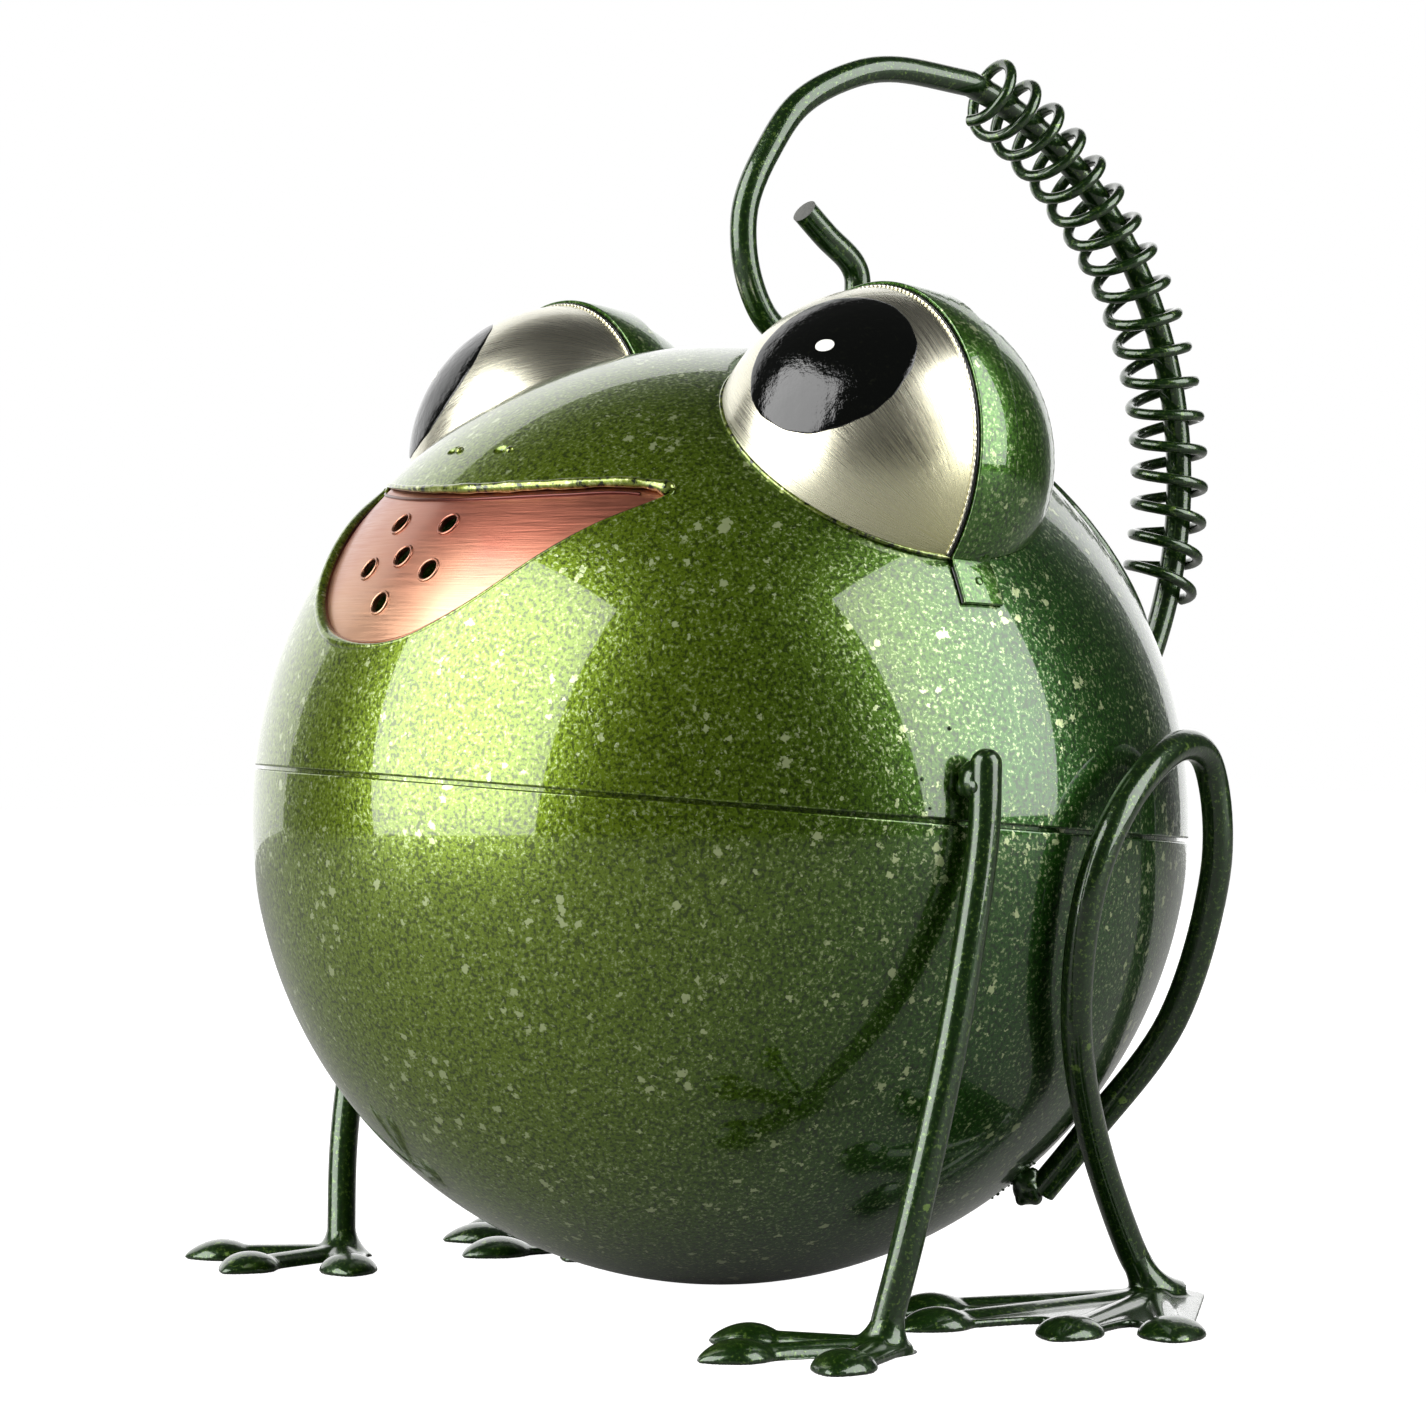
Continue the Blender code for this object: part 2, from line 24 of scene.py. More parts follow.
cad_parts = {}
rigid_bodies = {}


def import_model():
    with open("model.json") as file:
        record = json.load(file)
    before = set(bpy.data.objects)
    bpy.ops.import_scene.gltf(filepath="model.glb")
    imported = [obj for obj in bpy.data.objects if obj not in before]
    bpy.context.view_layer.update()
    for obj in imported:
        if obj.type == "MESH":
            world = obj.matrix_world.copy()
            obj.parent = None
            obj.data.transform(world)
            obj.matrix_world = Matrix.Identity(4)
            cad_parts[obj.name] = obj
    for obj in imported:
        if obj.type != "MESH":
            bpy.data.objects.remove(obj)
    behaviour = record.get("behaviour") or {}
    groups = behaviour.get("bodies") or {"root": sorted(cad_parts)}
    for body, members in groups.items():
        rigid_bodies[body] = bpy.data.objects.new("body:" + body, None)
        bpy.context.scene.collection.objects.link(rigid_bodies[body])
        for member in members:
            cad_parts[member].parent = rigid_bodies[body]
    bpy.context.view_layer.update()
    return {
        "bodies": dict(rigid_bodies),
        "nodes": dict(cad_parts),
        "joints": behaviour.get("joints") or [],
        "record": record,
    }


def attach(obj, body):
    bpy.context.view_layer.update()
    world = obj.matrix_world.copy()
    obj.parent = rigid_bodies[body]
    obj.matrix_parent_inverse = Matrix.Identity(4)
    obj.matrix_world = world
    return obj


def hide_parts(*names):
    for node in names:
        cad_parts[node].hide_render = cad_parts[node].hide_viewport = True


LOG = logging.getLogger("watering_can")
MM = 0.001

# Driving sizes of the can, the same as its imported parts
SHEET = 0.8  # wall of every pressed sheet part
GAP = 0.3  # clearance between pieces that touch
BODY_RADIUS = 85.0
ARC_CENTRE = (29.2, 64.1)  # y, z of the middle of the handle's arc, which is also the grip's axis
ARC_RADIUS = 78.6

# Ways of working
CUT_SPAN = (40.0, 100.0)  # distances from the body's centre between which an opening's cutter reaches
CRISP = 38.0  # edges sharper than this angle stay crisp
WELD_GRID = 0.35
FOOT_GRID = 0.34
AXIS_REACH = 1e-6  # a profile point nearer to the axis lies on it


class Slot(Enum):
    """The record's material slots."""

    GREEN = "green_enamel"
    DARK = "dark_green_enamel"
    COPPER = "copper_lacquer"
    SILVER = "brushed_silver"


class Side(Enum):
    """The two sides of the frog, by the sign of X."""

    LEFT = 1
    RIGHT = -1

    @property
    def word(self) -> str:
        """The side's name as it is used in node names."""
        return self.name.lower()


class CutKind(Enum):
    """What a Boolean does with its second mesh."""

    REMOVE = "DIFFERENCE"
    KEEP_INSIDE = "INTERSECT"


# ---------------------------------------------------------------- geometry helpers


def smooth_path(points: Sequence[Sequence[float]], per_span: int, cyclic: bool = False) -> list[Vector]:
    """Follow a Catmull-Rom curve through points.

    Args:
        points: The knots, in order.
        per_span: How many steps lie between two knots.
        cyclic: Whether the curve closes on itself.

    Returns:
        The points along the curve.
    """
    knots = [Vector(p) for p in points]
    if cyclic:
        knots = [knots[-1], *knots, knots[0], knots[1]]
    else:
        knots = [2 * knots[0] - knots[1], *knots, 2 * knots[-1] - knots[-2]]
    path = []
    for a, b, c, d in zip(knots, knots[1:], knots[2:], knots[3:]):
        for step in range(per_span):
            t = step / per_span
            square = (2 * a - 5 * b + 4 * c - d) * t**2
            cube = (3 * b - a - 3 * c + d) * t**3
            path.append(0.5 * (2 * b + (c - a) * t + square + cube))
    return path if cyclic else [*path, knots[-2]]


def arc_point(angle: float, radius: float = ARC_RADIUS, across: float = 0.0) -> Vector:
    """Find a point on a circle about the middle of the handle's arc.

    Args:
        angle: Degrees from the back of the body upwards.
        radius: Distance from the arc's centre.
        across: Offset towards the frog's left.

    Returns:
        The point in the body's frame.
    """
    turn = math.radians(angle)
    reach_y = ARC_CENTRE[0] + radius * math.cos(turn)
    return Vector((across, reach_y, ARC_CENTRE[1] + radius * math.sin(turn)))


def oval(half_width: float, half_height: float, count: int) -> list[Vector]:
    """List points round an ellipse in XY.

    Args:
        half_width: Half its size along X.
        half_height: Half its size along Y.
        count: How many points.

    Returns:
        The points, anticlockwise.
    """
    turns = [math.tau * i / count for i in range(count)]
    return [Vector((half_width * math.cos(t), half_height * math.sin(t))) for t in turns]


def aimed(direction: Sequence[float], at: Sequence[float] = (0, 0, 0)) -> Matrix:
    """Make a frame whose Z points along a direction.

    Args:
        direction: Where Z points.
        at: The frame's origin.

    Returns:
        The frame as a matrix, in the units of its origin.
    """
    return Matrix.Translation(Vector(at)) @ Vector(direction).to_track_quat("Z", "Y").to_matrix().to_4x4()


def shell_profile(radius: float, top: float, bottom: float, rings: int) -> list[tuple[float, float]]:
    """Draw half the section of a spherical sheet from its pole to a rounded edge and back.

    Args:
        radius: Outside radius of the sheet.
        top: Latitude at which the section starts, 90 for the pole.
        bottom: Latitude of the outermost point of the rounded edge.
        rings: Steps between them.

    Returns:
        Points of (radius, height), down the outside and up the inside.
    """
    half = SHEET / 2
    edge = math.radians(bottom) + half / radius
    first = math.radians(top)
    angles = [first + (edge - first) * i / rings for i in range(rings + 1)]
    outside = [(radius * math.cos(a), radius * math.sin(a)) for a in angles]
    inside = [((radius - SHEET) * math.cos(a), (radius - SHEET) * math.sin(a)) for a in reversed(angles)]
    middle = (radius - half) * Vector((math.cos(edge), math.sin(edge)))
    out, down = Vector((math.cos(edge), math.sin(edge))), Vector((math.sin(edge), -math.cos(edge)))
    turns = [math.radians(a) for a in range(20, 180, 20)]
    rounded = [tuple(middle + half * (math.cos(t) * out + math.sin(t) * down)) for t in turns]
    profile = [*outside, *rounded, *inside]
    return [(0.0 if abs(r) < AXIS_REACH else r, z) for r, z in profile]


class Form:
    """Vertices and faces in millimetres, gathered until they become the mesh of one object."""

    def __init__(self) -> None:
        """Start empty."""
        self.points: list[Vector] = []
        self.faces: list[tuple[int, ...]] = []
        self.looks: list[int] = []

    def skin(
        self, rings: Sequence[Sequence[Vector]], cyclic: bool = False, caps: bool = False, look: int = 0,
        cap_look: int | None = None,
    ) -> None:
        """Join a row of rings with quads.

        Args:
            rings: Closed loops of the same number of points.
            cyclic: Whether the last ring joins the first.
            caps: Whether the first and the last ring are filled.
            look: Material index of the sides.
            cap_look: Material index of the last ring's cap, when it differs.
        """
        start, size, count = len(self.points), len(rings[0]), len(rings)
        self.points += [point for ring in rings for point in ring]
        for row in range(count if cyclic else count - 1):
            here, after = start + row * size, start + (row + 1) % count * size
            for i in range(size):
                j = (i + 1) % size
                self.faces.append((here + i, here + j, after + j, after + i))
                self.looks.append(look)
        if caps:
            self.faces.append(tuple(range(start + size - 1, start - 1, -1)))
            self.faces.append(tuple(range(start + (count - 1) * size, start + count * size)))
            self.looks += [look, look if cap_look is None else cap_look]

    def lathe(
        self, profile: Sequence[tuple[float, float]], steps: int, frame: Matrix = Matrix(),
        cyclic: bool = False, look: int = 0,
    ) -> None:
        """Turn a profile of (radius, height) about Z.

        Args:
            profile: The profile's points; it starts and ends on the axis unless it is cyclic.
            steps: Steps round the axis.
            frame: Where the axis stands.
            cyclic: Whether the profile is a closed loop.
            look: Material index.
        """
        turns = [math.tau * i / steps for i in range(steps)]
        rings = [[frame @ Vector((r * math.cos(t), r * math.sin(t), z)) for t in turns] for r, z in profile]
        self.skin(rings, cyclic=cyclic, look=look)

    def tube(
        self, path: Sequence[Vector], radii: Sequence[float], sides: int = 24, cyclic: bool = False,
        look: int = 0, cap_look: int | None = None,
    ) -> None:
        """Sweep a circle along a path.

        Args:
            path: Middle line.
            radii: Radius at each point of the path.
            sides: Points round the circle.
            cyclic: Whether the path is a closed loop.
            look: Material index.
            cap_look: Material index of the face at the path's end.
        """
        count = len(path)
        rings = []
        normal = Vector()
        before_tangent = Vector()
        for i, (point, radius) in enumerate(zip(path, radii)):
            before = path[i - 1] if cyclic or i else point
            after = path[(i + 1) % count] if cyclic or i + 1 < count else point
            tangent = (after - before).normalized()
            normal = before_tangent.rotation_difference(tangent) @ normal if i else tangent.orthogonal()
            normal = (normal - tangent * normal.dot(tangent)).normalized()
            across = tangent.cross(normal)
            turns = [math.tau * k / sides for k in range(sides)]
            rings.append([point + radius * (math.cos(t) * normal + math.sin(t) * across) for t in turns])
            before_tangent = tangent
        self.skin(rings, cyclic=cyclic, caps=not cyclic, look=look, cap_look=cap_look)

    def ball(self, frame: Matrix, radii: Sequence[float], steps: int = 24) -> None:
        """Add an ellipsoid.

        Args:
            frame: Its centre and axes.
            radii: Its three half sizes.
            steps: Steps round it.
        """
        angles = [math.pi * (0.5 - i / (steps // 2)) for i in range(steps // 2 + 1)]
        profile = [(max(0.0, math.cos(a)), math.sin(a)) for a in angles]
        self.lathe(profile, steps, frame @ Matrix.Diagonal((*radii, 1.0)))

    def almond(self, frame: Matrix, radii: Sequence[float], steps: int, floor: float) -> None:
        """Add half an ellipsoid that narrows towards both ends of its X axis.

        Args:
            frame: Its centre and axes.
            radii: Its three half sizes.
            steps: Steps round it.
            floor: Height of its flat underside.
        """
        narrowing = 0.38
        start = len(self.points)
        self.ball(Matrix(), (1.0, 1.0, 1.0), steps)
        for i in range(start, len(self.points)):
            unit = self.points[i]
            waist = 1.0 - narrowing * unit.x**2
            across, up = radii[1] * unit.y * waist, radii[2] * unit.z * waist
            point = frame @ Vector((radii[0] * unit.x, across, up))
            point.z = max(point.z, floor)
            self.points[i] = point

    def prism(
        self, outline: Sequence[Vector], low: float, high: float, frame: Matrix = Matrix(), look: int = 0
    ) -> None:
        """Raise a flat outline along Z.

        Args:
            outline: Points in XY.
            low: Height of its bottom.
            high: Height of its top.
            frame: Where it stands.
            look: Material index.
        """
        rings = [[frame @ Vector((p.x, p.y, z)) for p in outline] for z in (low, high)]
        self.skin(rings, caps=True, look=look)

    def cap(
        self, direction: Sequence[float], centre: Vector, edge: Callable[[float], float], base: float,
        height: float, fullness: float, look: int = 0,
    ) -> None:
        """Lay a thin raised patch on a ball.

        Args:
            direction: From the ball's centre to the middle of the patch.
            centre: The ball's centre.
            edge: Half angle of the patch, in degrees, for a turn about its middle in radians.
            base: The ball's radius.
            height: How far the patch stands proud.
            fullness: 2 for a dome, more for a flat top with a rounded edge.
            look: Material index.
        """
        frame = aimed(direction, centre)
        turns = [math.tau * i / 96 for i in range(96)]
        shares = [math.sin(math.pi / 2 * i / 24) for i in range(25)]
        levels = [(s, base + height * max(0.0, 1 - s**fullness) ** 0.5) for s in shares]
        levels += [(s, base - 0.25) for s in reversed(shares)]
        rings = []
        for share, radius in levels:
            ring = []
            for turn in turns:
                tilt = math.radians(edge(turn) * share)
                flat = radius * math.sin(tilt)
                spot = Vector((flat * math.cos(turn), flat * math.sin(turn), radius * math.cos(tilt)))
                ring.append(frame @ spot)
            rings.append(ring)
        self.skin(rings, look=look)

    def build(
        self, name: str, matrix: Matrix, paints: Sequence[bpy.types.Material] = ()
    ) -> bpy.types.Object:
        """Make the object.

        Args:
            name: Its name.
            matrix: Its place in the world, in metres. The turn goes into the mesh, so its box is level.
            paints: Its materials, by index.

        Returns:
            The object, linked into the scene.
        """
        turn = matrix.to_3x3()
        mesh = bpy.data.meshes.new(name)
        mesh.from_pydata([turn @ point * MM for point in self.points], [], self.faces)
        mesh.polygons.foreach_set("material_index", self.looks)
        bm = bmesh.new()
        bm.from_mesh(mesh)
        bmesh.ops.remove_doubles(bm, verts=bm.verts, dist=2e-7)
        bmesh.ops.recalc_face_normals(bm, faces=bm.faces)
        bm.to_mesh(mesh)
        bm.free()
        for paint in paints:
            mesh.materials.append(paint)
        piece = bpy.data.objects.new(name, mesh)
        piece.matrix_world = Matrix.Translation(matrix.translation)
        bpy.context.scene.collection.objects.link(piece)
        soften(piece)
        return piece


def soften(piece: bpy.types.Object, crisp: float = CRISP) -> None:
    """Shade a piece smooth, apart from its crisp edges.

    Args:
        piece: The object.
        crisp: Edges sharper than this angle stay crisp.
    """
    piece.data.shade_smooth()
    piece.data.set_sharp_from_angle(angle=math.radians(crisp))


def bake(piece: bpy.types.Object) -> None:
    """Turn a piece's modifiers into its mesh.

    Args:
        piece: The object.
    """
    bpy.context.view_layer.update()
    graph = bpy.context.evaluated_depsgraph_get()
    mesh = bpy.data.meshes.new_from_object(piece.evaluated_get(graph))
    before = piece.data
    piece.modifiers.clear()
    piece.data = mesh
    bpy.data.meshes.remove(before)


def cut(piece: bpy.types.Object, tool: bpy.types.Object, kind: CutKind = CutKind.REMOVE) -> None:
    """Cut a piece with another object, which is used up.

    Args:
        piece: What is cut.
        tool: The cutter.
        kind: Whether the cutter's inside is removed or kept.
    """
    step = piece.modifiers.new("cut", "BOOLEAN")
    step.operation = kind.value
    step.solver = "EXACT"
    step.object = tool
    bake(piece)
    bpy.data.objects.remove(tool, do_unlink=True)


def fuse(piece: bpy.types.Object, voxel: float, rounds: int) -> None:
    """Melt overlapping solids into one smooth skin.

    Args:
        piece: The object whose solids overlap.
        voxel: Grid size in millimetres.
        rounds: How often the skin is smoothed.
    """
    remesh = piece.modifiers.new("melt", "REMESH")
    remesh.mode = "VOXEL"
    remesh.voxel_size = voxel * MM
    smooth = piece.modifiers.new("smooth", "SMOOTH")
    smooth.factor = 0.5
    smooth.iterations = rounds
    bake(piece)
    soften(piece, 60.0)


def round_normals(piece: bpy.types.Object, radius: float) -> None:
    """Give the skin of a cut ball the normals of the whole ball, so that its reflections stay clean.

    Args:
        piece: The object, in the ball's frame.
        radius: The ball's radius.
    """
    near, level = 0.01, 0.9  # how close to the ball's skin a corner lies, and how square to it its face
    mesh = piece.data
    normals = [corner.vector.copy() for corner in mesh.corner_normals]
    for face in mesh.polygons:
        for corner in face.loop_indices:
            out = mesh.vertices[mesh.loops[corner].vertex_index].co
            direction = out.normalized()
            if abs(out.length / MM - radius) < near and face.normal.dot(direction) > level:
                normals[corner] = direction
    mesh.normals_split_custom_set(normals)


def hand_over(piece: bpy.types.Object, body: str, slot: Slot, *nodes: str) -> None:
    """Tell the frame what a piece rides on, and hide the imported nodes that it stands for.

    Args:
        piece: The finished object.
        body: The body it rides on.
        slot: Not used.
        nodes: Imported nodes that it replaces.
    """
    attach(piece, body)
    if nodes:
        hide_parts(*nodes)
    LOG.info("%s: %d faces", piece.name, len(piece.data.polygons))


# ---------------------------------------------------------------- finishes

# Kinds of shader nodes
NOISE = "ShaderNodeTexNoise"
CELLS = "ShaderNodeTexVoronoi"
RANGE = "ShaderNodeMapRange"
MATH = "ShaderNodeMath"
VECTORS = "ShaderNodeVectorMath"
MIX = "ShaderNodeMix"
BUMP = "ShaderNodeBump"
AXES = "ShaderNodeSeparateXYZ"

# What the Mix node needs to mix colours
MIX_A = 6
MIX_B = 7
COLOURS = {"output": 2, "data_type": "RGBA"}


def linear(code: str) -> tuple[float, float, float, float]:
    """Turn an sRGB hex colour into linear RGBA.

    Args:
        code: The colour, such as '#6b7a3f'.

    Returns:
        Red, green, blue and alpha.
    """
    parts = [int(code[i : i + 2], 16) / 255 for i in (1, 3, 5)]
    red, green, blue = (p / 12.92 if p <= 0.04045 else ((p + 0.055) / 1.055) ** 2.4 for p in parts)
    return (red, green, blue, 1.0)


def per_metre(size_mm: float) -> float:
    """The texture scale whose features are this many millimetres across."""
    return 1.0 / (size_mm * MM)


def feed(node: bpy.types.Node, inputs: dict[Any, Any]) -> None:
    """Set or link sockets of a node.

    Args:
        node: The node.
        inputs: Sockets by name or number, each with a value or with the socket that feeds it.
    """
    for socket, value in inputs.items():
        if isinstance(value, bpy.types.NodeSocket):
            node.id_data.links.new(value, node.inputs[socket])
        else:
            node.inputs[socket].default_value = value


def add_node(
    tree: bpy.types.NodeTree, kind: str, inputs: dict[Any, Any] | None = None, output: str | int = 0,
    **settings: Any,
) -> bpy.types.NodeSocket | None:
    """Add a node.

    Args:
        tree: Where it goes.
        kind: Its type.
        inputs: Sockets by name or number, each with a value or with the socket that feeds it.
        output: Name or number of the output that is wanted.
        settings: Its properties.

    Returns:
        That output, or None from a node that has none.
    """
    node = tree.nodes.new(kind)
    for name, value in settings.items():
        setattr(node, name, value)
    feed(node, inputs or {})
    return node.outputs[output] if node.outputs else None


def ramp(value: Any, low: float, high: float, start: float = 0.0, end: float = 1.0) -> dict[str, Any]:
    """List the inputs that turn low..high into start..end.

    Args:
        value: The socket whose value is turned.
        low: Where the ramp starts.
        high: Where it ends.
        start: The result at its start.
        end: The result at its end.

    Returns:
        Inputs for a Map Range node.
    """
    return {"Value": value, "From Min": low, "From Max": high, "To Min": start, "To Max": end}


def blend(share: Any, first: Any, second: Any) -> dict[int, Any]:
    """The inputs that make a Mix node go from a first to a second colour."""
    return {0: share, MIX_A: first, MIX_B: second}


@dataclass(frozen=True)
class Finish:
    """A way of treating a surface, which becomes one material."""

    name: str

    def shade(self, tree: bpy.types.NodeTree, place: bpy.types.NodeSocket) -> dict[str, Any]:
        """Build the finish's textures.

        Args:
            tree: The material's node tree.
            place: Socket with the position on the piece.

        Returns:
            Inputs for the Principled shader.
        """
        raise NotImplementedError

    def make(self) -> bpy.types.Material:
        """Build the material.

        Returns:
            The material.
        """
        material = bpy.data.materials.new(self.name)
        material.use_nodes = True
        tree = material.node_tree
        place = add_node(tree, "ShaderNodeTexCoord", output="Object")
        feed(tree.nodes["Principled BSDF"], self.shade(tree, place))
        return material


@dataclass(frozen=True)
class SpatteredEnamel(Finish):
    """Air-dried metallic enamel on sheet steel, spattered with a paler one and varnished.

    The eye sees a dark metallic green full of fine grains, scattered pale flecks that stand a little proud,
    and a wet gloss over everything.
    """

    deep: str = "#1a4a04"  # at the flanks and the back
    warm: str = "#698006"  # olive, lighter towards the face
    shadow: str = "#0a1403"
    fleck: str = "#c0cd98"
    metallic: float = 0.72
    roughness: float = 0.28
    varnish_roughness: float = 0.03
    grain_mm: float = 0.72
    grain_depth: float = 0.7
    fleck_mm: float = 2.6  # spacing of the larger flecks
    fleck_reach: float = 0.34  # largest radius as a share of the spacing
    fine_fleck_mm: float = 1.2
    cloud_mm: float = 16.0  # size of the areas where the spatter fell more or less thickly
    face_reach: tuple[float, float] = (-0.2, 0.9)  # from deep to warm, along the direction of the face
    face: tuple[float, float, float] = (-0.15, -0.95, 0.15)
    bare_share: float = 0.2  # of the cells of the spatter that stay empty
    crowding: tuple[float, float] = (0.55, 1.25)  # size of the flecks where they fell thinly and thickly
    fine_reach: float = 0.3
    fine_strength: float = 0.55
    fleck_strength: float = 0.78
    ragged_mm: float = 2.2  # how far the outline of a fleck wanders
    wander_mm: float = 0.9  # how often it does

    def spots(
        self, tree: bpy.types.NodeTree, spacing: float, reach: float, place: bpy.types.NodeSocket
    ) -> bpy.types.NodeSocket:
        """Scatter round spots of random size.

        Args:
            tree: The node tree.
            spacing: Millimetres between them.
            reach: Largest radius as a share of the spacing.
            place: Socket with the position.

        Returns:
            The socket with 1 inside a spot and 0 outside.
        """
        cells = add_node(tree, CELLS, {"Vector": place, "Scale": per_metre(spacing)}, "Color")
        chance = add_node(tree, "ShaderNodeSeparateColor", {"Color": cells}, "Red")
        size = add_node(tree, RANGE, ramp(chance, self.bare_share, 1.0, 0.0, reach))
        clouds = add_node(tree, NOISE, {"Vector": place, "Scale": per_metre(self.cloud_mm), "Detail": 1.0})
        crowding = add_node(tree, RANGE, ramp(clouds, 0.38, 0.62, *self.crowding))
        crowded = add_node(tree, MATH, {0: size, 1: crowding}, operation="MULTIPLY")
        distance = cells.node.outputs["Distance"]
        inside = add_node(tree, MATH, {0: crowded, 1: distance}, operation="SUBTRACT")
        return add_node(tree, RANGE, ramp(inside, 0.0, 0.06))

    def shade(self, tree: bpy.types.NodeTree, place: bpy.types.NodeSocket) -> dict[str, Any]:
        """Lay the ground, the grain, the flecks and the varnish over one another.

        Args:
            tree: The material's node tree.
            place: Socket with the position on the piece.

        Returns:
            Inputs for the Principled shader.
        """
        wander = {"Vector": place, "Scale": per_metre(self.wander_mm), "Detail": 2.0}
        wobble = add_node(tree, NOISE, wander, "Color")
        shift = add_node(tree, VECTORS, {0: wobble, 1: (0.5, 0.5, 0.5)}, operation="SUBTRACT")
        amount = (self.ragged_mm * MM,) * 3
        moved = add_node(tree, VECTORS, {0: shift, 1: amount, 2: place}, operation="MULTIPLY_ADD")
        unit = add_node(tree, VECTORS, {0: place}, operation="NORMALIZE")
        facing = add_node(tree, VECTORS, {0: unit, 1: self.face}, "Value", operation="DOT_PRODUCT")
        warmth = add_node(tree, RANGE, ramp(facing, *self.face_reach), interpolation_type="SMOOTHSTEP")
        ground = add_node(tree, MIX, blend(warmth, linear(self.deep), linear(self.warm)), **COLOURS)
        pattern = {"Vector": place, "Scale": per_metre(self.grain_mm), "Detail": 3.0, "Roughness": 0.62}
        grain = add_node(tree, NOISE, pattern)
        dark_grain = add_node(tree, RANGE, ramp(grain, 0.49, 0.40, 0.0, self.grain_depth))
        grained = add_node(tree, MIX, blend(dark_grain, ground, linear(self.shadow)), **COLOURS)
        bright_grain = add_node(tree, RANGE, ramp(grain, 0.57, 0.66, 0.0, 0.58))
        large = self.spots(tree, self.fleck_mm, self.fleck_reach, moved)
        fine = self.spots(tree, self.fine_fleck_mm, self.fine_reach, moved)
        faint = add_node(tree, MATH, {0: fine, 1: self.fine_strength}, operation="MULTIPLY")
        pale = add_node(tree, MATH, {0: large, 1: faint}, operation="MAXIMUM")
        paler = add_node(tree, MATH, {0: pale, 1: bright_grain}, operation="MAXIMUM")
        strength = add_node(tree, MATH, {0: paler, 1: self.fleck_strength}, operation="MULTIPLY")
        colour = add_node(tree, MIX, blend(strength, grained, linear(self.fleck)), **COLOURS)
        under = add_node(tree, BUMP, {"Height": grain, "Strength": 0.55, "Distance": 0.00012})
        proud = add_node(tree, BUMP, {"Height": paler, "Strength": 0.35, "Distance": 0.00004})
        return {
            "Base Color": colour, "Metallic": self.metallic, "Roughness": self.roughness,
            "Coat Weight": 1.0, "Coat Roughness": self.varnish_roughness, "Coat IOR": 1.5,
            "Normal": under, "Coat Normal": proud,
        }


@dataclass(frozen=True)
class BrushedSilver(Finish):
    """Tinned sheet, rubbed with a wire brush from one corner of the eye and lacquered.

    The eye sees champagne-coloured metal with fine lines that fan out from that corner, and near the
    corner, where the ball meets the green head, a painted reflection of the head in the strokes.
    """

    corner: tuple[float, float, float]  # where the strokes start, in the eye's frame
    metal: str = "#e6e2cc"
    tint: str = "#c9c46a"  # painted reflection of the green head, laid into the strokes near the corner
    stroke_turn: float = 0.45  # degrees between strokes
    stroke_mm: float = 14.0  # length of a stroke
    reflection_reach: tuple[float, float] = (0.034, 0.004)  # metres from the corner, over which the painted reflection fades in

    def shade(self, tree: bpy.types.NodeTree, place: bpy.types.NodeSocket) -> dict[str, Any]:
        """Fan the strokes out from the corner and lay a painted reflection of the green head into them near
        it.

        Args:
            tree: The material's node tree.
            place: Socket with the position on the piece.

        Returns:
            Inputs for the Principled shader.
        """
        corner = Vector(self.corner) * MM
        away = add_node(tree, VECTORS, {0: place, 1: tuple(corner)}, operation="SUBTRACT")
        distance = add_node(tree, VECTORS, {0: away}, "Value", operation="LENGTH")
        downward = tuple(Vector((corner.z, 0.0, -corner.x)).normalized())
        below = add_node(tree, VECTORS, {0: place, 1: downward}, "Value", operation="DOT_PRODUCT")
        depth = add_node(tree, AXES, {"Vector": place}, "Y")
        turn = add_node(tree, MATH, {0: below, 1: depth}, operation="ARCTAN2")
        across = add_node(
            tree, MATH, {0: turn, 1: 1.0 / math.radians(self.stroke_turn)}, operation="MULTIPLY"
        )
        along = add_node(tree, MATH, {0: distance, 1: per_metre(self.stroke_mm)}, operation="MULTIPLY")
        flow = add_node(tree, "ShaderNodeCombineXYZ", {"X": across, "Y": along})
        pattern = {"Vector": flow, "Scale": 1.0, "Detail": 4.0, "Roughness": 0.7}
        strokes = add_node(tree, NOISE, pattern)
        # painted reflection of the green head, strongest at the corner where the eye meets it
        near = add_node(tree, RANGE, ramp(distance, *self.reflection_reach, 0.0, 1.1))
        reflection_share = add_node(tree, MATH, {0: near, 1: strokes}, operation="MULTIPLY")
        colour = add_node(tree, MIX, blend(reflection_share, linear(self.metal), linear(self.tint)), **COLOURS)
        polish = add_node(tree, RANGE, ramp(strokes, 0.3, 0.7, 0.2, 0.36))
        grooves = add_node(tree, BUMP, {"Height": strokes, "Strength": 0.6, "Distance": 0.00006})
        return {
            "Base Color": colour, "Metallic": 1.0, "Roughness": polish, "Coat Weight": 0.5,
            "Coat Roughness": 0.05, "Normal": grooves,
        }


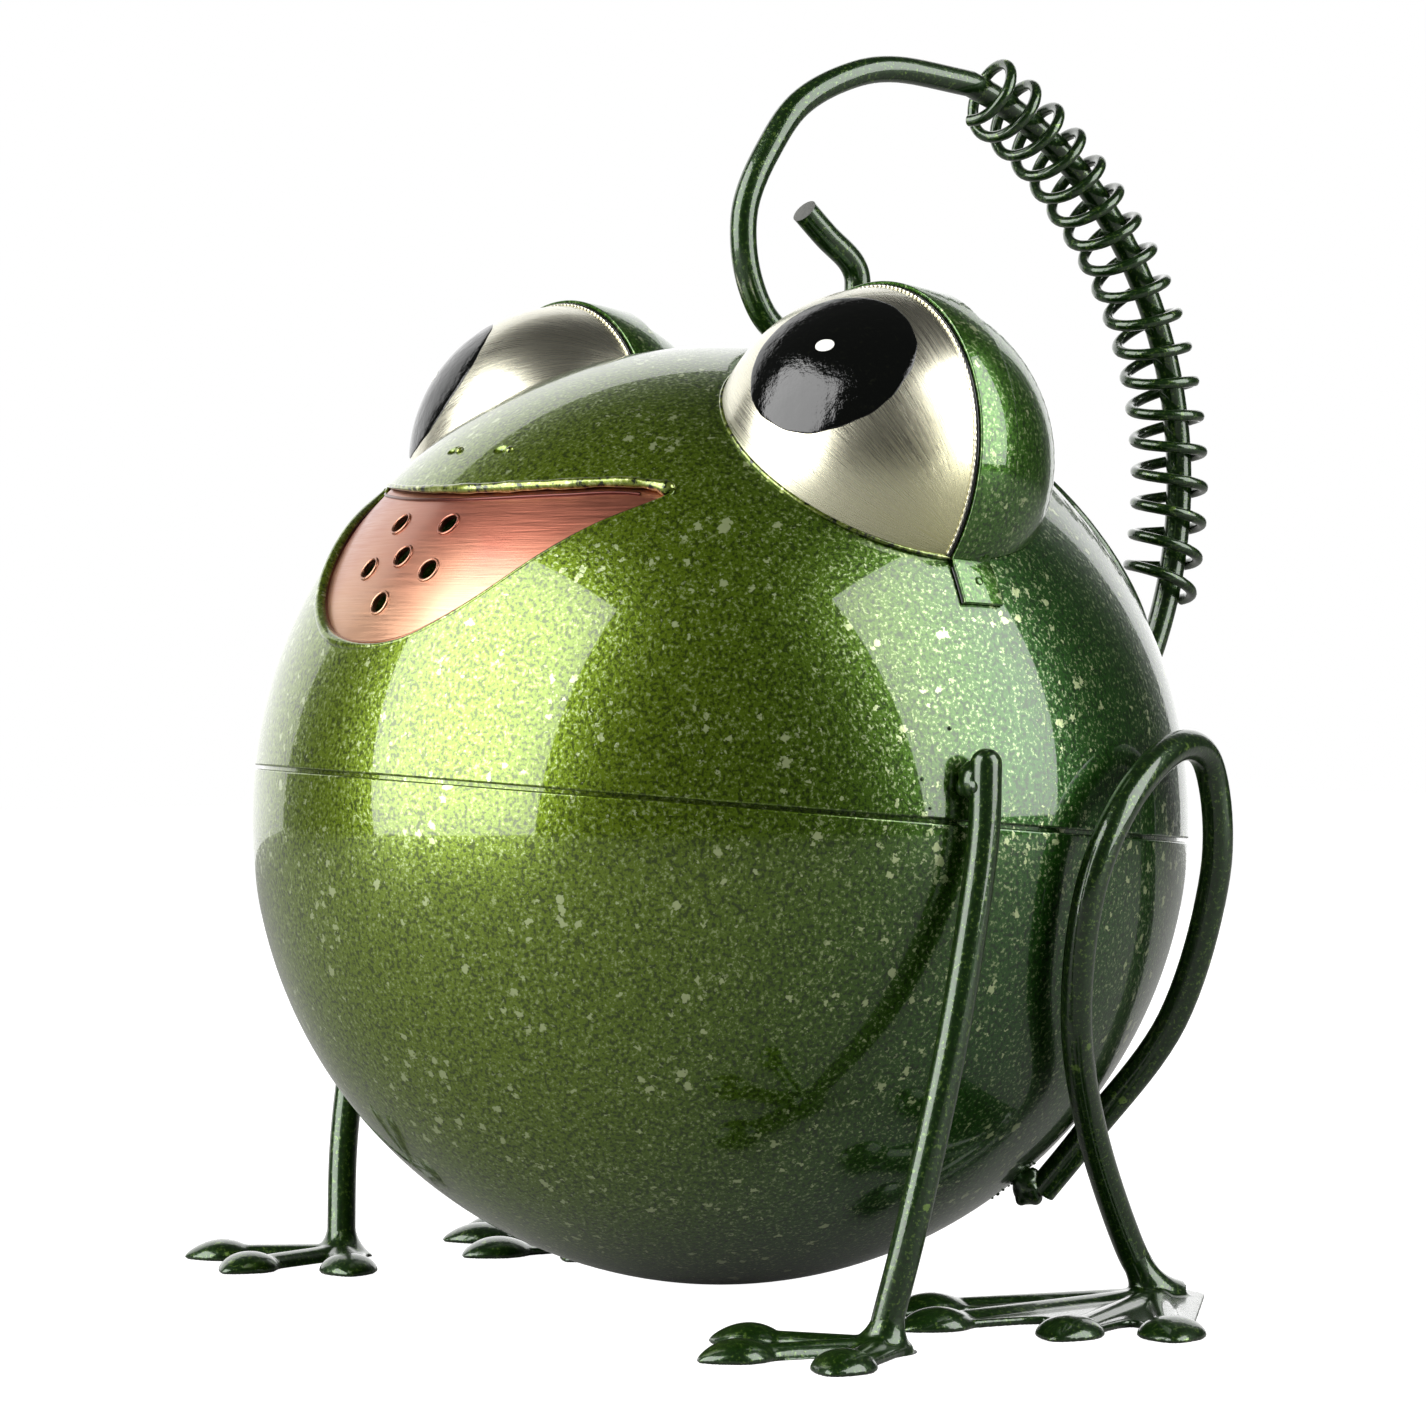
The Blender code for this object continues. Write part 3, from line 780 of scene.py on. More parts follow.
@dataclass(frozen=True)
class CopperLacquer(Finish):
    """Bare steel sheet under transparent copper-red lacquer, brushed from side to side.

    The eye sees a satin pink copper with fine level lines, darker and redder towards the top: painted shade
    under the upper lip, also mottled in random clouds.
    """

    thin: str = "#d0a283"
    # darker red: painted shade under the upper lip, also mottled in at random
    shade_dark: str = "#b06c58"
    line_mm: float = 0.3
    cloud_mm: float = 26.0
    lip_shade_heights: tuple[float, float] = (0.036, 0.056)  # metres above the body's centre, over which the painted shade under the upper lip deepens

    def shade(self, tree: bpy.types.NodeTree, place: bpy.types.NodeSocket) -> dict[str, Any]:
        """Brush the sheet level and paint darker, redder shade below the upper lip, mottled in random
        clouds.

        Args:
            tree: The material's node tree.
            place: Socket with the position on the piece.

        Returns:
            Inputs for the Principled shader.
        """
        lines = add_node(tree, VECTORS, {0: place, 1: (0.03, 0.03, 1.0)}, operation="MULTIPLY")
        pattern = {"Vector": lines, "Scale": per_metre(self.line_mm), "Detail": 3.0, "Roughness": 0.6}
        brushed = add_node(tree, NOISE, pattern)
        clouds = add_node(tree, NOISE, {"Vector": place, "Scale": per_metre(self.cloud_mm), "Detail": 2.0})
        height = add_node(tree, AXES, {"Vector": place}, "Z")
        # painted shade, darker towards the upper lip
        lip_shade = add_node(tree, RANGE, ramp(height, *self.lip_shade_heights, 0.0, 0.55))
        shade_and_clouds = add_node(tree, MATH, {0: lip_shade, 1: clouds}, operation="ADD")
        share = add_node(tree, RANGE, ramp(shade_and_clouds, 0.45, 1.0))
        colour = add_node(tree, MIX, blend(share, linear(self.thin), linear(self.shade_dark)), **COLOURS)
        polish = add_node(tree, RANGE, ramp(brushed, 0.3, 0.7, 0.3, 0.44))
        grooves = add_node(tree, BUMP, {"Height": brushed, "Strength": 0.6, "Distance": 0.00006})
        return {
            "Base Color": colour, "Metallic": 1.0, "Roughness": polish, "Coat Weight": 0.35,
            "Coat Roughness": 0.15, "Normal": grooves,
        }


@dataclass(frozen=True)
class GlossEnamel(Finish):
    """Brushed-on gloss enamel of one colour.

    The eye sees a thick glassy layer that levelled by itself, with the faintest ripple.
    """

    paint: str
    speck: str
    roughness: float = 0.04
    ripple_mm: float = 3.2
    dust_mm: float = 0.8

    def shade(self, tree: bpy.types.NodeTree, place: bpy.types.NodeSocket) -> dict[str, Any]:
        """Ripple the enamel and drop a little dust into it.

        Args:
            tree: The material's node tree.
            place: Socket with the position on the piece.

        Returns:
            Inputs for the Principled shader.
        """
        pattern = {"Vector": place, "Scale": per_metre(self.ripple_mm), "Detail": 5.0, "Roughness": 0.62}
        ripple = add_node(tree, NOISE, pattern)
        dust = add_node(tree, NOISE, {"Vector": place, "Scale": per_metre(self.dust_mm), "Detail": 2.0})
        share = add_node(tree, RANGE, ramp(dust, 0.62, 0.75, 0.0, 0.5))
        colour = add_node(tree, MIX, blend(share, linear(self.paint), linear(self.speck)), **COLOURS)
        level = add_node(tree, BUMP, {"Height": ripple, "Strength": 0.5, "Distance": 0.00035})
        return {"Base Color": colour, "Roughness": self.roughness, "IOR": 1.52, "Normal": level}


@dataclass(frozen=True)
class SawnSteel(Finish):
    """The sawn end of a mild steel rod. The eye sees grey metal with close parallel saw marks."""

    metal: str = "#a8a9a4"
    groove: str = "#7d7e79"
    mark_mm: float = 0.25

    def shade(self, tree: bpy.types.NodeTree, place: bpy.types.NodeSocket) -> dict[str, Any]:
        """Draw the saw marks.

        Args:
            tree: The material's node tree.
            place: Socket with the position on the piece.

        Returns:
            Inputs for the Principled shader.
        """
        saw = add_node(tree, VECTORS, {0: place, 1: (1.0, 0.08, 0.08)}, operation="MULTIPLY")
        marks = add_node(tree, NOISE, {"Vector": saw, "Scale": per_metre(self.mark_mm), "Detail": 2.0})
        colour = add_node(tree, MIX, blend(marks, linear(self.groove), linear(self.metal)), **COLOURS)
        ridges = add_node(tree, BUMP, {"Height": marks, "Strength": 0.5, "Distance": 0.00005})
        return {"Base Color": colour, "Metallic": 1.0, "Roughness": 0.45, "Normal": ridges}


@dataclass(frozen=True)
class PaleFloor(Finish):
    """Matt sweep of the studio. The eye sees it pure white; pieces reflect it in a duller grey."""

    tones: tuple[str, str] = ("#868684", "#8c8c88")
    grain_mm: float = 40.0

    def shade(self, tree: bpy.types.NodeTree, place: bpy.types.NodeSocket) -> dict[str, Any]:
        """Mottle the floor and make it glow for the eye alone.

        Args:
            tree: The material's node tree.
            place: Not used.

        Returns:
            Inputs for the Principled shader.
        """
        grain = add_node(tree, NOISE, {"Scale": per_metre(self.grain_mm), "Detail": 2.0})
        tone = add_node(tree, MIX, blend(grain, *(linear(code) for code in self.tones)), **COLOURS)
        glow = add_node(tree, "ShaderNodeLightPath", output="Is Camera Ray")
        return {
            "Base Color": tone, "Roughness": 0.7, "Emission Color": linear("#ffffff"),
            "Emission Strength": glow,
        }


# ---------------------------------------------------------------- where the can stands


@dataclass(frozen=True)
class Posture:
    """Where the body stands and how it is tipped."""

    stance: Matrix  # upright, at the centre of the sphere, in metres
    body: Matrix  # tipped with the body

    @classmethod
    def from_frame(cls, frame: dict[str, Any]) -> Posture:
        """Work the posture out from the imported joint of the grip, whose axis is the body's X.


        Returns:
            The posture.
        """
        joint = frame["joints"][0]
        across = Vector(joint["axis"]).normalized()
        back = Vector((0.0, -across.z, across.y)) * -1.0
        back = back.normalized() if back.y > 0 else -back.normalized()
        up = across.cross(back)
        tilt = Matrix((across, back, up)).transposed()
        centre = Vector(joint["pos_m"]) - tilt @ (Vector((0.0, *ARC_CENTRE)) * MM)
        stance = Matrix.Translation(centre)
        return cls(stance=stance, body=stance @ tilt.to_4x4())

    def in_body(self, point: Sequence[float]) -> Vector:
        """Turn a point of the upright frame into the body's frame."""
        return (self.body.inverted() @ self.stance).to_3x3() @ Vector(point)


# ---------------------------------------------------------------- the body


@dataclass
class Mouth:
    """The outline of the mouth, seen from the front."""

    half: list[tuple[float, float]] = field(
        default_factory=lambda: [
            (0.0, 52.6), (12.0, 52.9), (26.0, 54.0), (36.0, 55.0), (42.5, 54.2), (42.6, 52.0), (36.6, 46.6),
            (31.5, 41.2), (24.9, 34.0), (18.4, 29.0), (10.4, 25.2), (0.0, 23.9),
        ]
    )  # x, z from the middle of the upper lip to the chin

    def outline(self, grow: float = 0.0) -> list[Vector]:
        """Draw the whole outline.

        Args:
            grow: How far it is offset outwards.

        Returns:
            Points of (x, z), from the middle of the upper lip round the frog's left side.
        """
        left = [(-x, z) for x, z in reversed(self.half[1:-1])]
        loop = smooth_path([*self.half, *left], 6, cyclic=True)
        grown = []
        for before, here, after in zip([loop[-1], *loop], loop, [*loop[1:], loop[0]]):
            along = (after - before).normalized()
            grown.append(here + grow * Vector((-along.y, along.x)))
        return grown

    def cutter(self, name: str, grow: float, matrix: Matrix) -> bpy.types.Object:
        """Make a prism of the outline that reaches out of the face.

        Args:
            name: Its name.
            grow: How far it is offset outwards.
            matrix: The body's frame.

        Returns:
            The object.
        """
        tool = Form()
        tool.prism(self.outline(grow), *CUT_SPAN, Matrix.Rotation(math.radians(90), 4, "X"))
        return tool.build(name, matrix)

    def on_face(self, flat: Vector, radius: float) -> Vector:
        """Put a point of the outline on a ball about the body's centre."""
        return Vector((flat.x, -math.sqrt(radius**2 - flat.x**2 - flat.y**2), flat.y))


@dataclass
class Bowls:
    """The two pressed bowls of the body, with the lips round the mouth and the nostrils."""

    paint: bpy.types.Material
    # paler green of the upper lip and the nostril lumps: painted highlight
    highlight_paint: bpy.types.Material
    # darker copper of the beads in the mouth's edges: painted shade
    shaded_bead_metal: bpy.types.Material
    mouth: Mouth
    seam: float = 2.0  # above the centre
    groove: float = 0.32  # half the height of the dark groove at the seam
    lap_radius: float = 83.4
    lap_height: float = 5.0
    steps: int = 200
    rings: int = 60
    filler_latitude: float = 42.0
    filler_size: tuple[float, float] = (47.0, 34.0)
    rim_radius: float = 1.2
    nostril: tuple[float, float] = (7.3, 45.0)  # x, latitude
    dent: tuple[float, float, float] = (2.5, 1.4, 1.1)  # half sizes of the ball that presses a nostril
    dent_lift: float = 0.5
    lump: tuple[float, float, float] = (0.75, 0.85, 0.5)  # half sizes of the pale lump in a nostril, a painted highlight on the dent's far side
    lump_shift: tuple[float, float, float] = (1.9, 0.0, 0.05)
    shoulder: float = 0.45  # radius of the lower bowl's rounded edge
    lip_corner: int = 24  # steps of the mouth's outline from the middle of the upper lip to its corner

    def build(self, posture: Posture) -> None:
        """Build both bowls, the lips and the nostrils.

        Args:
            posture: Where the can stands.
        """
        self.build_upper(posture.body)
        self.build_lower(posture.body)
        self.build_lips(posture.body)

    def nostril_frame(self, side: Side) -> Matrix:
        """A frame on the skin at a nostril, Z outwards and X along the nostril.

        Args:
            side: Which nostril.

        Returns:
            The frame.
        """
        x, latitude = self.nostril
        height = BODY_RADIUS * math.sin(math.radians(latitude))
        out = Vector((side.value * x, -math.sqrt(BODY_RADIUS**2 - x**2 - height**2), height))
        return aimed(out, out)

    def filler_frame(self) -> Matrix:
        """A frame at the body's centre whose Z points out through the filler opening."""
        return Matrix.Rotation(math.radians(self.filler_latitude - 90), 4, "X")

    def build_upper(self, matrix: Matrix) -> None:
        """Spin the upper bowl, then cut its mouth, filler opening and nostrils.

        Args:
            matrix: The body's frame.
        """
        edge = math.degrees(math.asin((self.seam + self.groove) / BODY_RADIUS))
        form = Form()
        form.lathe(shell_profile(BODY_RADIUS, 90, edge, self.rings), self.steps)
        shell = form.build("upper_bowl", matrix, [self.paint])
        cut(shell, self.mouth.cutter("mouth_tool", 0.0, matrix))
        opening = Form()
        opening.prism(oval(*self.filler_size, 120), *CUT_SPAN, self.filler_frame())
        cut(shell, opening.build("filler_tool", matrix))
        for side in Side:
            dent = Form()
            dent.ball(self.nostril_frame(side) @ Matrix.Translation((0, 0, self.dent_lift)), self.dent, 32)
            cut(shell, dent.build(f"nostril_tool_{side.word}", matrix))
        soften(shell)
        round_normals(shell, BODY_RADIUS)
        hand_over(shell, "can", Slot.GREEN, "upper_shell")

    def build_lower(self, matrix: Matrix) -> None:
        """Spin the lower bowl with its rounded shoulder and the lap that rises inside the upper bowl.

        Args:
            matrix: The body's frame.
        """
        shoulder, top = self.shoulder, self.seam - self.groove
        start = math.asin((top - shoulder) / BODY_RADIUS)
        angles = [start + (-math.pi / 2 - start) * i / self.rings for i in range(self.rings + 1)]
        outside = [(BODY_RADIUS * math.cos(a), BODY_RADIUS * math.sin(a)) for a in angles]
        middle = Vector((BODY_RADIUS * math.cos(start) - shoulder, top - shoulder))
        turns = [math.radians(a) for a in (90, 72, 54, 36, 18)]
        bend = [tuple(middle + shoulder * Vector((math.cos(t), math.sin(t)))) for t in turns]
        crest = self.seam + self.lap_height
        inner = self.lap_radius - SHEET
        lap = [(inner, self.seam - 3.0), (inner, crest), (self.lap_radius, crest), (self.lap_radius, top)]
        thin = BODY_RADIUS - SHEET
        low = math.asin((self.seam - 5.0) / thin)
        angles = [-math.pi / 2 + (low + math.pi / 2) * i / self.rings for i in range(self.rings + 1)]
        inside = [(thin * math.cos(a), thin * math.sin(a)) for a in angles]
        profile = [*inside, *lap, *bend, *outside]
        form = Form()
        form.lathe([(0.0 if abs(r) < AXIS_REACH else r, z) for r, z in profile], self.steps)
        shell = form.build("lower_bowl", matrix, [self.paint])
        round_normals(shell, BODY_RADIUS)
        hand_over(shell, "can", Slot.GREEN, "lower_shell")

    def build_lips(self, matrix: Matrix) -> None:
        """Lay the thick upper lip, the thin bead round the chin and the lumps in the nostrils; the lip and
        the lumps take a paler green, a painted highlight.

        Args:
            matrix: The body's frame.
        """
        loop = self.mouth.outline()
        corner = self.lip_corner
        upper = [*loop[-corner - 3 :], *loop[: corner + 3]]
        radii = []
        for i, flat in enumerate(upper):
            share = min(1.0, max(0.0, (flat.x + 14.0) / 22.0))
            nub = math.exp(-(((i - (len(upper) - 3)) / 1.6) ** 2))
            lump = 0.09 * math.sin(i * 1.3) + 0.07 * math.sin(i * 2.9 + 1.0)
            radii.append(0.5 + 0.42 * share + 0.5 * nub * share + lump * share)
        # the upper lip and the nostril lumps in paler green: painted highlight
        form = Form()
        form.tube([self.mouth.on_face(p, BODY_RADIUS - 0.1) for p in upper], radii, 20)
        for side in Side:
            form.ball(self.nostril_frame(side) @ Matrix.Translation(self.lump_shift), self.lump, 20)
        lip = form.build("upper_lip", matrix, [self.highlight_paint])
        hand_over(lip, "can", Slot.GREEN)
        chin = [self.mouth.on_face(p, BODY_RADIUS - 0.35) for p in loop[corner + 1 : len(loop) - corner]]
        far = [min(1.0, max(0.0, (6.0 - p.x) / 14.0)) for p in chin]
        roll = Form()
        roll.tube(chin, [0.45 + 0.6 * share for share in far], 16)
        hand_over(roll.build("lower_lip", matrix, [self.paint]), "can", Slot.GREEN)
        # beads in the mouth's edges, in darker copper: painted shade in the groove at the chin and under
        # the upper lip
        seam = Form()
        inner = [self.mouth.on_face(p, BODY_RADIUS - 0.95) for p in self.mouth.outline(-0.75)]
        inner = inner[corner + 1 : len(loop) - corner]
        seam.tube(inner, [0.3] * len(inner), 12)
        flange = [self.mouth.on_face(p, BODY_RADIUS - 1.0) for p in self.mouth.outline(-1.9)]
        top = [*flange[-corner + 3 :], *flange[: corner - 3]]
        seam.tube(top, [0.28] * len(top), 12)
        bead = seam.build("mouth_bead", matrix, [self.shaded_bead_metal])
        hand_over(bead, "can", Slot.COPPER)


@dataclass
class Rose:
    """The punched plate in the mouth through which the water pours."""

    metal: bpy.types.Material
    mouth: Mouth
    lap: float = 1.8
    hole_radius: float = 1.95
    holes: tuple[tuple[float, float], ...] = (
        (0.0, 40.2), (7.3, 46.2), (-7.3, 46.2), (9.1, 37.9), (-9.1, 37.9), (0.0, 31.8),
    )  # x, z
    burr: float = 0.28  # raised edge round each hole
    band: tuple[float, float] = (3.0, 47.0)  # latitudes of the zone that it is trimmed from
    punch_reach: float = 4.0
    steps: int = 240
    hole_steps: int = 48

    def build(self, posture: Posture) -> None:
        """Spin a zone of sheet, trim it to the mouth and punch it.

        Args:
            posture: Where the can stands.
        """
        radius = BODY_RADIUS - SHEET - GAP
        form = Form()
        low, high = self.band
        angles = [math.radians(low + (high - low) * i / 60) for i in range(61)]
        zone = [(radius * math.cos(a), radius * math.sin(a)) for a in angles]
        back = [((radius - SHEET) * math.cos(a), (radius - SHEET) * math.sin(a)) for a in reversed(angles)]
        form.lathe([*zone, *back], self.steps, cyclic=True)
        plate = form.build("rose_plate", posture.body, [self.metal])
        cut(plate, self.mouth.cutter("rose_tool", self.lap, posture.body), CutKind.KEEP_INSIDE)
        rims = Form()
        for number, (x, z) in enumerate(self.holes):
            out = Vector((x, -math.sqrt(radius**2 - x**2 - z**2), z))
            frame = aimed(out, out)
            punch = Form()
            outline = oval(self.hole_radius, self.hole_radius, self.hole_steps)
            punch.prism(outline, -self.punch_reach, self.punch_reach, frame)
            cut(plate, punch.build(f"punch_{number}", posture.body))
            edge = self.hole_radius + self.burr * 0.6
            ring = [frame @ Vector((p.x, p.y, 0.0)) for p in oval(edge, edge, self.hole_steps)]
            rims.tube(ring, [self.burr] * len(ring), 12, cyclic=True)
        soften(plate)
        round_normals(plate, radius)
        hand_over(plate, "can", Slot.COPPER, "mouth_rose")
        hand_over(rims.build("rose_hole_rims", posture.body, [self.metal]), "can", Slot.COPPER)


@dataclass
class FillerRim:
    """The wired bead round the filler opening."""

    paint: bpy.types.Material
    bowls: Bowls

    def build(self, posture: Posture) -> None:
        """Sweep the bead round the opening.

        Args:
            posture: Where the can stands.
        """
        frame, inset = self.bowls.filler_frame(), self.bowls.rim_radius + GAP
        middle = BODY_RADIUS - SHEET / 2
        half_width, half_height = self.bowls.filler_size
        path = [
            frame @ Vector((p.x, p.y, math.sqrt(middle**2 - p.x**2 - p.y**2)))
            for p in oval(half_width - inset, half_height - inset, 160)
        ]
        form = Form()
        form.tube(path, [self.bowls.rim_radius] * len(path), 20, cyclic=True)
        hand_over(form.build("filler_bead", posture.body, [self.paint]), "can", Slot.DARK, "filler_rim")


@dataclass
class Eye:
    """A quarter-sphere eye: silver in front, green behind, with a strap over the joint."""

    side: Side
    silver: bpy.types.Material
    green: bpy.types.Material
    black: bpy.types.Material
    white: bpy.types.Material
    rim_paint: bpy.types.Material
    gaze: tuple[float, float, float]
    glint: tuple[float, float, float]
    radius: float = 30.1
    place: tuple[float, float, float] = (46.2, -6.8, 63.5)
    pupil: float = 29.6  # half angle
    pupil_height: float = 0.18
    rim: float = 0.42  # radius of the line of paint round the eye
    strap_edges: tuple[float, float] = (-3.8, 4.3)
    strap_thickness: float = 0.7
    tab: float = 5.6  # degrees of the head that a tab covers

    @property
    def centre(self) -> Vector:
        """The centre of the eye's ball in the body's frame."""
        return Vector((self.side.value * self.place[0], self.place[1], self.place[2]))

    def build(self, posture: Posture) -> None:
        """Build the two shells, the painted pupil and the strap.

        Args:
            posture: Where the can stands.
        """
        self.build_shells(posture)
        self.build_pupil(posture)
        self.build_strap(posture)
        self.build_rim(posture)

    def build_shells(self, posture: Posture) -> None:
        """Spin the two half shells and cope them to the head.

        Args:
            posture: Where the can stands.
        """
        edge = math.degrees(math.asin(GAP / 2 / self.radius))
        for part, turn, paint, slot in (
            ("front", 90, self.silver, Slot.SILVER), ("back", -90, self.green, Slot.GREEN)
        ):
            form = Form()
            form.lathe(
                shell_profile(self.radius, 90, edge, 40), 160, Matrix.Rotation(math.radians(turn), 4, "X")
            )
            seat = posture.body @ Matrix.Translation(self.centre * MM)
            shell = form.build(f"eye_{part}_shell_{self.side.word}", seat, [paint])
            head = Form()
            head.ball(Matrix.Translation(-self.centre), (BODY_RADIUS + GAP,) * 3, 240)
            cut(shell, head.build("head_tool", seat))
            soften(shell)
            round_normals(shell, self.radius)
            hand_over(shell, "can", slot, f"eye_{part}_{self.side.word}")

    def ragged(self, turn: float) -> float:
        """Half angle of the hand-painted pupil at a turn about its middle."""
        wave = 0.3 * math.sin(3 * turn + 1.0) + 0.2 * math.sin(7 * turn) + 0.12 * math.sin(17 * turn + 2.0)
        return self.pupil + wave

    def build_pupil(self, posture: Posture) -> None:
        """Lay the black pupil and its white dot on the front shell.

        Args:
            posture: Where the can stands.
        """
        form = Form()
        form.cap(self.gaze, self.centre, self.ragged, self.radius, self.pupil_height, 30.0)
        pupil = form.build(f"pupil_{self.side.word}", posture.body, [self.black])
        hand_over(pupil, "can", Slot.SILVER)
        dot, base = Form(), self.radius + self.pupil_height
        dot.cap(self.glint, self.centre, lambda turn: 2.9 + 0.4 * math.cos(2 * turn), base, 0.2, 4.0)
        hand_over(dot.build(f"glint_{self.side.word}", posture.body, [self.white]), "can", Slot.SILVER)

    def strap_path(self) -> list[tuple[bool, float]]:
        """List the strap's stations as (over the eye, angle from straight up).

        Returns:
            The stations, from the inner tab to the outer one.
        """
        over_eye = self.radius + GAP + self.strap_thickness / 2
        over_head = BODY_RADIUS + GAP + self.strap_thickness / 2
        x, y, z = self.place
        reach, bearing = math.hypot(x, z), math.degrees(math.atan2(x, z))
        flat = math.sqrt(over_head**2 - y**2)
        meet_head = math.degrees(math.acos((flat**2 + reach**2 - over_eye**2) / (2 * flat * reach)))
        along = (flat**2 - over_eye**2 + reach**2) / (2 * reach) - reach
        meet_eye = math.degrees(math.acos(along / over_eye))
        arc, tab = 90, 6
        path = [(False, bearing - meet_head - self.tab * (1 - i / tab)) for i in range(tab)]
        path += [(True, bearing - meet_eye + 2 * meet_eye * i / arc) for i in range(arc + 1)]
        path += [(False, bearing + meet_head + self.tab * (i + 1) / tab) for i in range(tab)]
        return path

    def over(self, station: tuple[bool, float], across: float, height: float) -> Vector:
        """Place a point of the strap's section.

        Args:
            station: Whether the strap is over the eye there, and its angle.
            across: Offset from the joint's plane towards the back.
            height: Height above the surface that the strap lies on.

        Returns:
            The point in the body's frame.
        """
        on_eye, angle = station
        radius = (self.radius if on_eye else BODY_RADIUS) + GAP + height
        offset = across if on_eye else across + self.place[1]
        in_plane = math.sqrt(radius**2 - offset**2)
        turn = math.radians(angle)
        base = self.centre if on_eye else Vector()
        return base + Vector(
            (self.side.value * in_plane * math.sin(turn), offset, in_plane * math.cos(turn))
        )

    def build_strap(self, posture: Posture) -> None:
        """Sweep the strap's rounded section over the eye, with its beaded front edge and black lines of
        painted shade along its edges.

        Args:
            posture: Where the can stands.
        """
        front, back = self.strap_edges
        top, soft = self.strap_thickness, 0.2
        section = []
        for across, height, first in (
            (front + soft, soft, 270), (front + soft, top - soft, 180), (back - soft, top - soft, 90),
            (back - soft, soft, 0),
        ):
            turns = [math.radians(first - step) for step in (0, 30, 60, 90)]
            section += [(across + soft * math.cos(t), height + soft * math.sin(t)) for t in turns]
        stations = self.strap_path()
        form = Form()
        form.skin([[self.over(station, *spot) for spot in section] for station in stations], caps=True)
        for at, across in ((3, 0.0), (-4, 0.3)):
            spot = self.over(stations[at], across, self.strap_thickness)
            form.ball(aimed(spot, spot), (0.8, 0.8, 0.25), 20)
        strap = form.build(f"strap_{self.side.word}", posture.body, [self.green])
        hand_over(strap, "can", Slot.GREEN, f"eye_strap_{self.side.word}")
        bead = Form()
        line = smooth_path([self.over(s, front - 0.75, -0.15) for s in stations if s[0]], 3)
        bead.tube(line, [0.2 + 0.08 * math.sin(i * 1.9) for i in range(len(line))], 10)
        edging = bead.build(f"strap_bead_{self.side.word}", posture.body, [self.silver])
        hand_over(edging, "can", Slot.SILVER)
        # black lines along the strap's edges over the eye and beside its tabs: painted shade in the gaps
        # between the strap and the shells
        shade_dark = Form()
        for across, thick in ((front - 0.3, 0.3), (back + 0.12, 0.22)):
            line = [self.over(s, across, 0.2 if across > 0 else -0.1) for s in stations if s[0]]
            shade_dark.tube(line, [thick] * len(line), 10)
        for start, end in ((0, 7), (len(stations) - 7, len(stations))):
            for across in (front - 0.05, back + 0.05):
                line = [self.over(s, across, 0.0) for s in stations[start:end] if not s[0]]
                shade_dark.tube(line, [0.2] * len(line), 10)
        edge = shade_dark.build(f"strap_edge_paint_{self.side.word}", posture.body, [self.black])
        hand_over(edge, "can", Slot.GREEN)

    def build_rim(self, posture: Posture) -> None:
        """Lay the thin line of pale paint where the front shell meets the head.

        Args:
            posture: Where the can stands.
        """
        centre, head = self.centre, BODY_RADIUS + GAP
        away = centre.length
        flat = (head**2 - self.radius**2 + away**2) / (2 * away)
        ring_radius = math.sqrt(head**2 - flat**2)
        frame = aimed(centre, centre.normalized() * flat)
        ring = [frame @ Vector((p.x, p.y, 0.0)) for p in oval(ring_radius, ring_radius, 240)]
        front = [point.y < centre.y - 1.0 for point in ring]
        first = next(i for i in range(240) if front[i] and not front[i - 1])
        line = [ring[(first + i) % 240] for i in range(240) if front[(first + i) % 240]]
        form = Form()
        form.tube(line, [self.rim] * len(line), 12)
        rim = form.build(f"eye_rim_{self.side.word}", posture.body, [self.rim_paint])
        hand_over(rim, "can", Slot.GREEN)


# ---------------------------------------------------------------- handle and grip


def weld_bead(form: Form, centre: Vector, radii: Sequence[float], seed: int) -> None:
    """Heap overlapping blobs into a hand-made weld.

    Args:
        form: Where they go.
        centre: Middle of the weld.
        radii: Its half sizes.
        seed: Makes each weld different.
    """
    chance = random.Random(seed)
    form.ball(Matrix.Translation(centre), [r * 0.86 for r in radii], 24)
    for _ in range(9):
        way = Vector([chance.gauss(0, 1) for _ in range(3)]).normalized()
        size = chance.uniform(0.3, 0.46)
        spot = centre + Vector([w * r * (1 - size * 0.85) for w, r in zip(way, radii)])
        form.ball(Matrix.Translation(spot), [r * size for r in radii], 16)


def droplets(form: Form, middle: Vector, reach: float, count: int, seed: int) -> None:
    """Scatter weld spatter on the body's skin.

    Args:
        form: Where the droplets go.
        middle: A point near the skin in the body's frame.
        reach: How far they flew.
        count: How many.
        seed: Makes each weld different.
    """
    chance = random.Random(seed)
    for _ in range(count):
        way = middle + Vector([chance.gauss(0, reach / 1.7) for _ in range(3)])
        size = chance.uniform(0.18, 0.42)
        spot = way.normalized() * (BODY_RADIUS + 0.05)
        form.ball(aimed(spot, spot), (size, size, size * 0.8), 10)


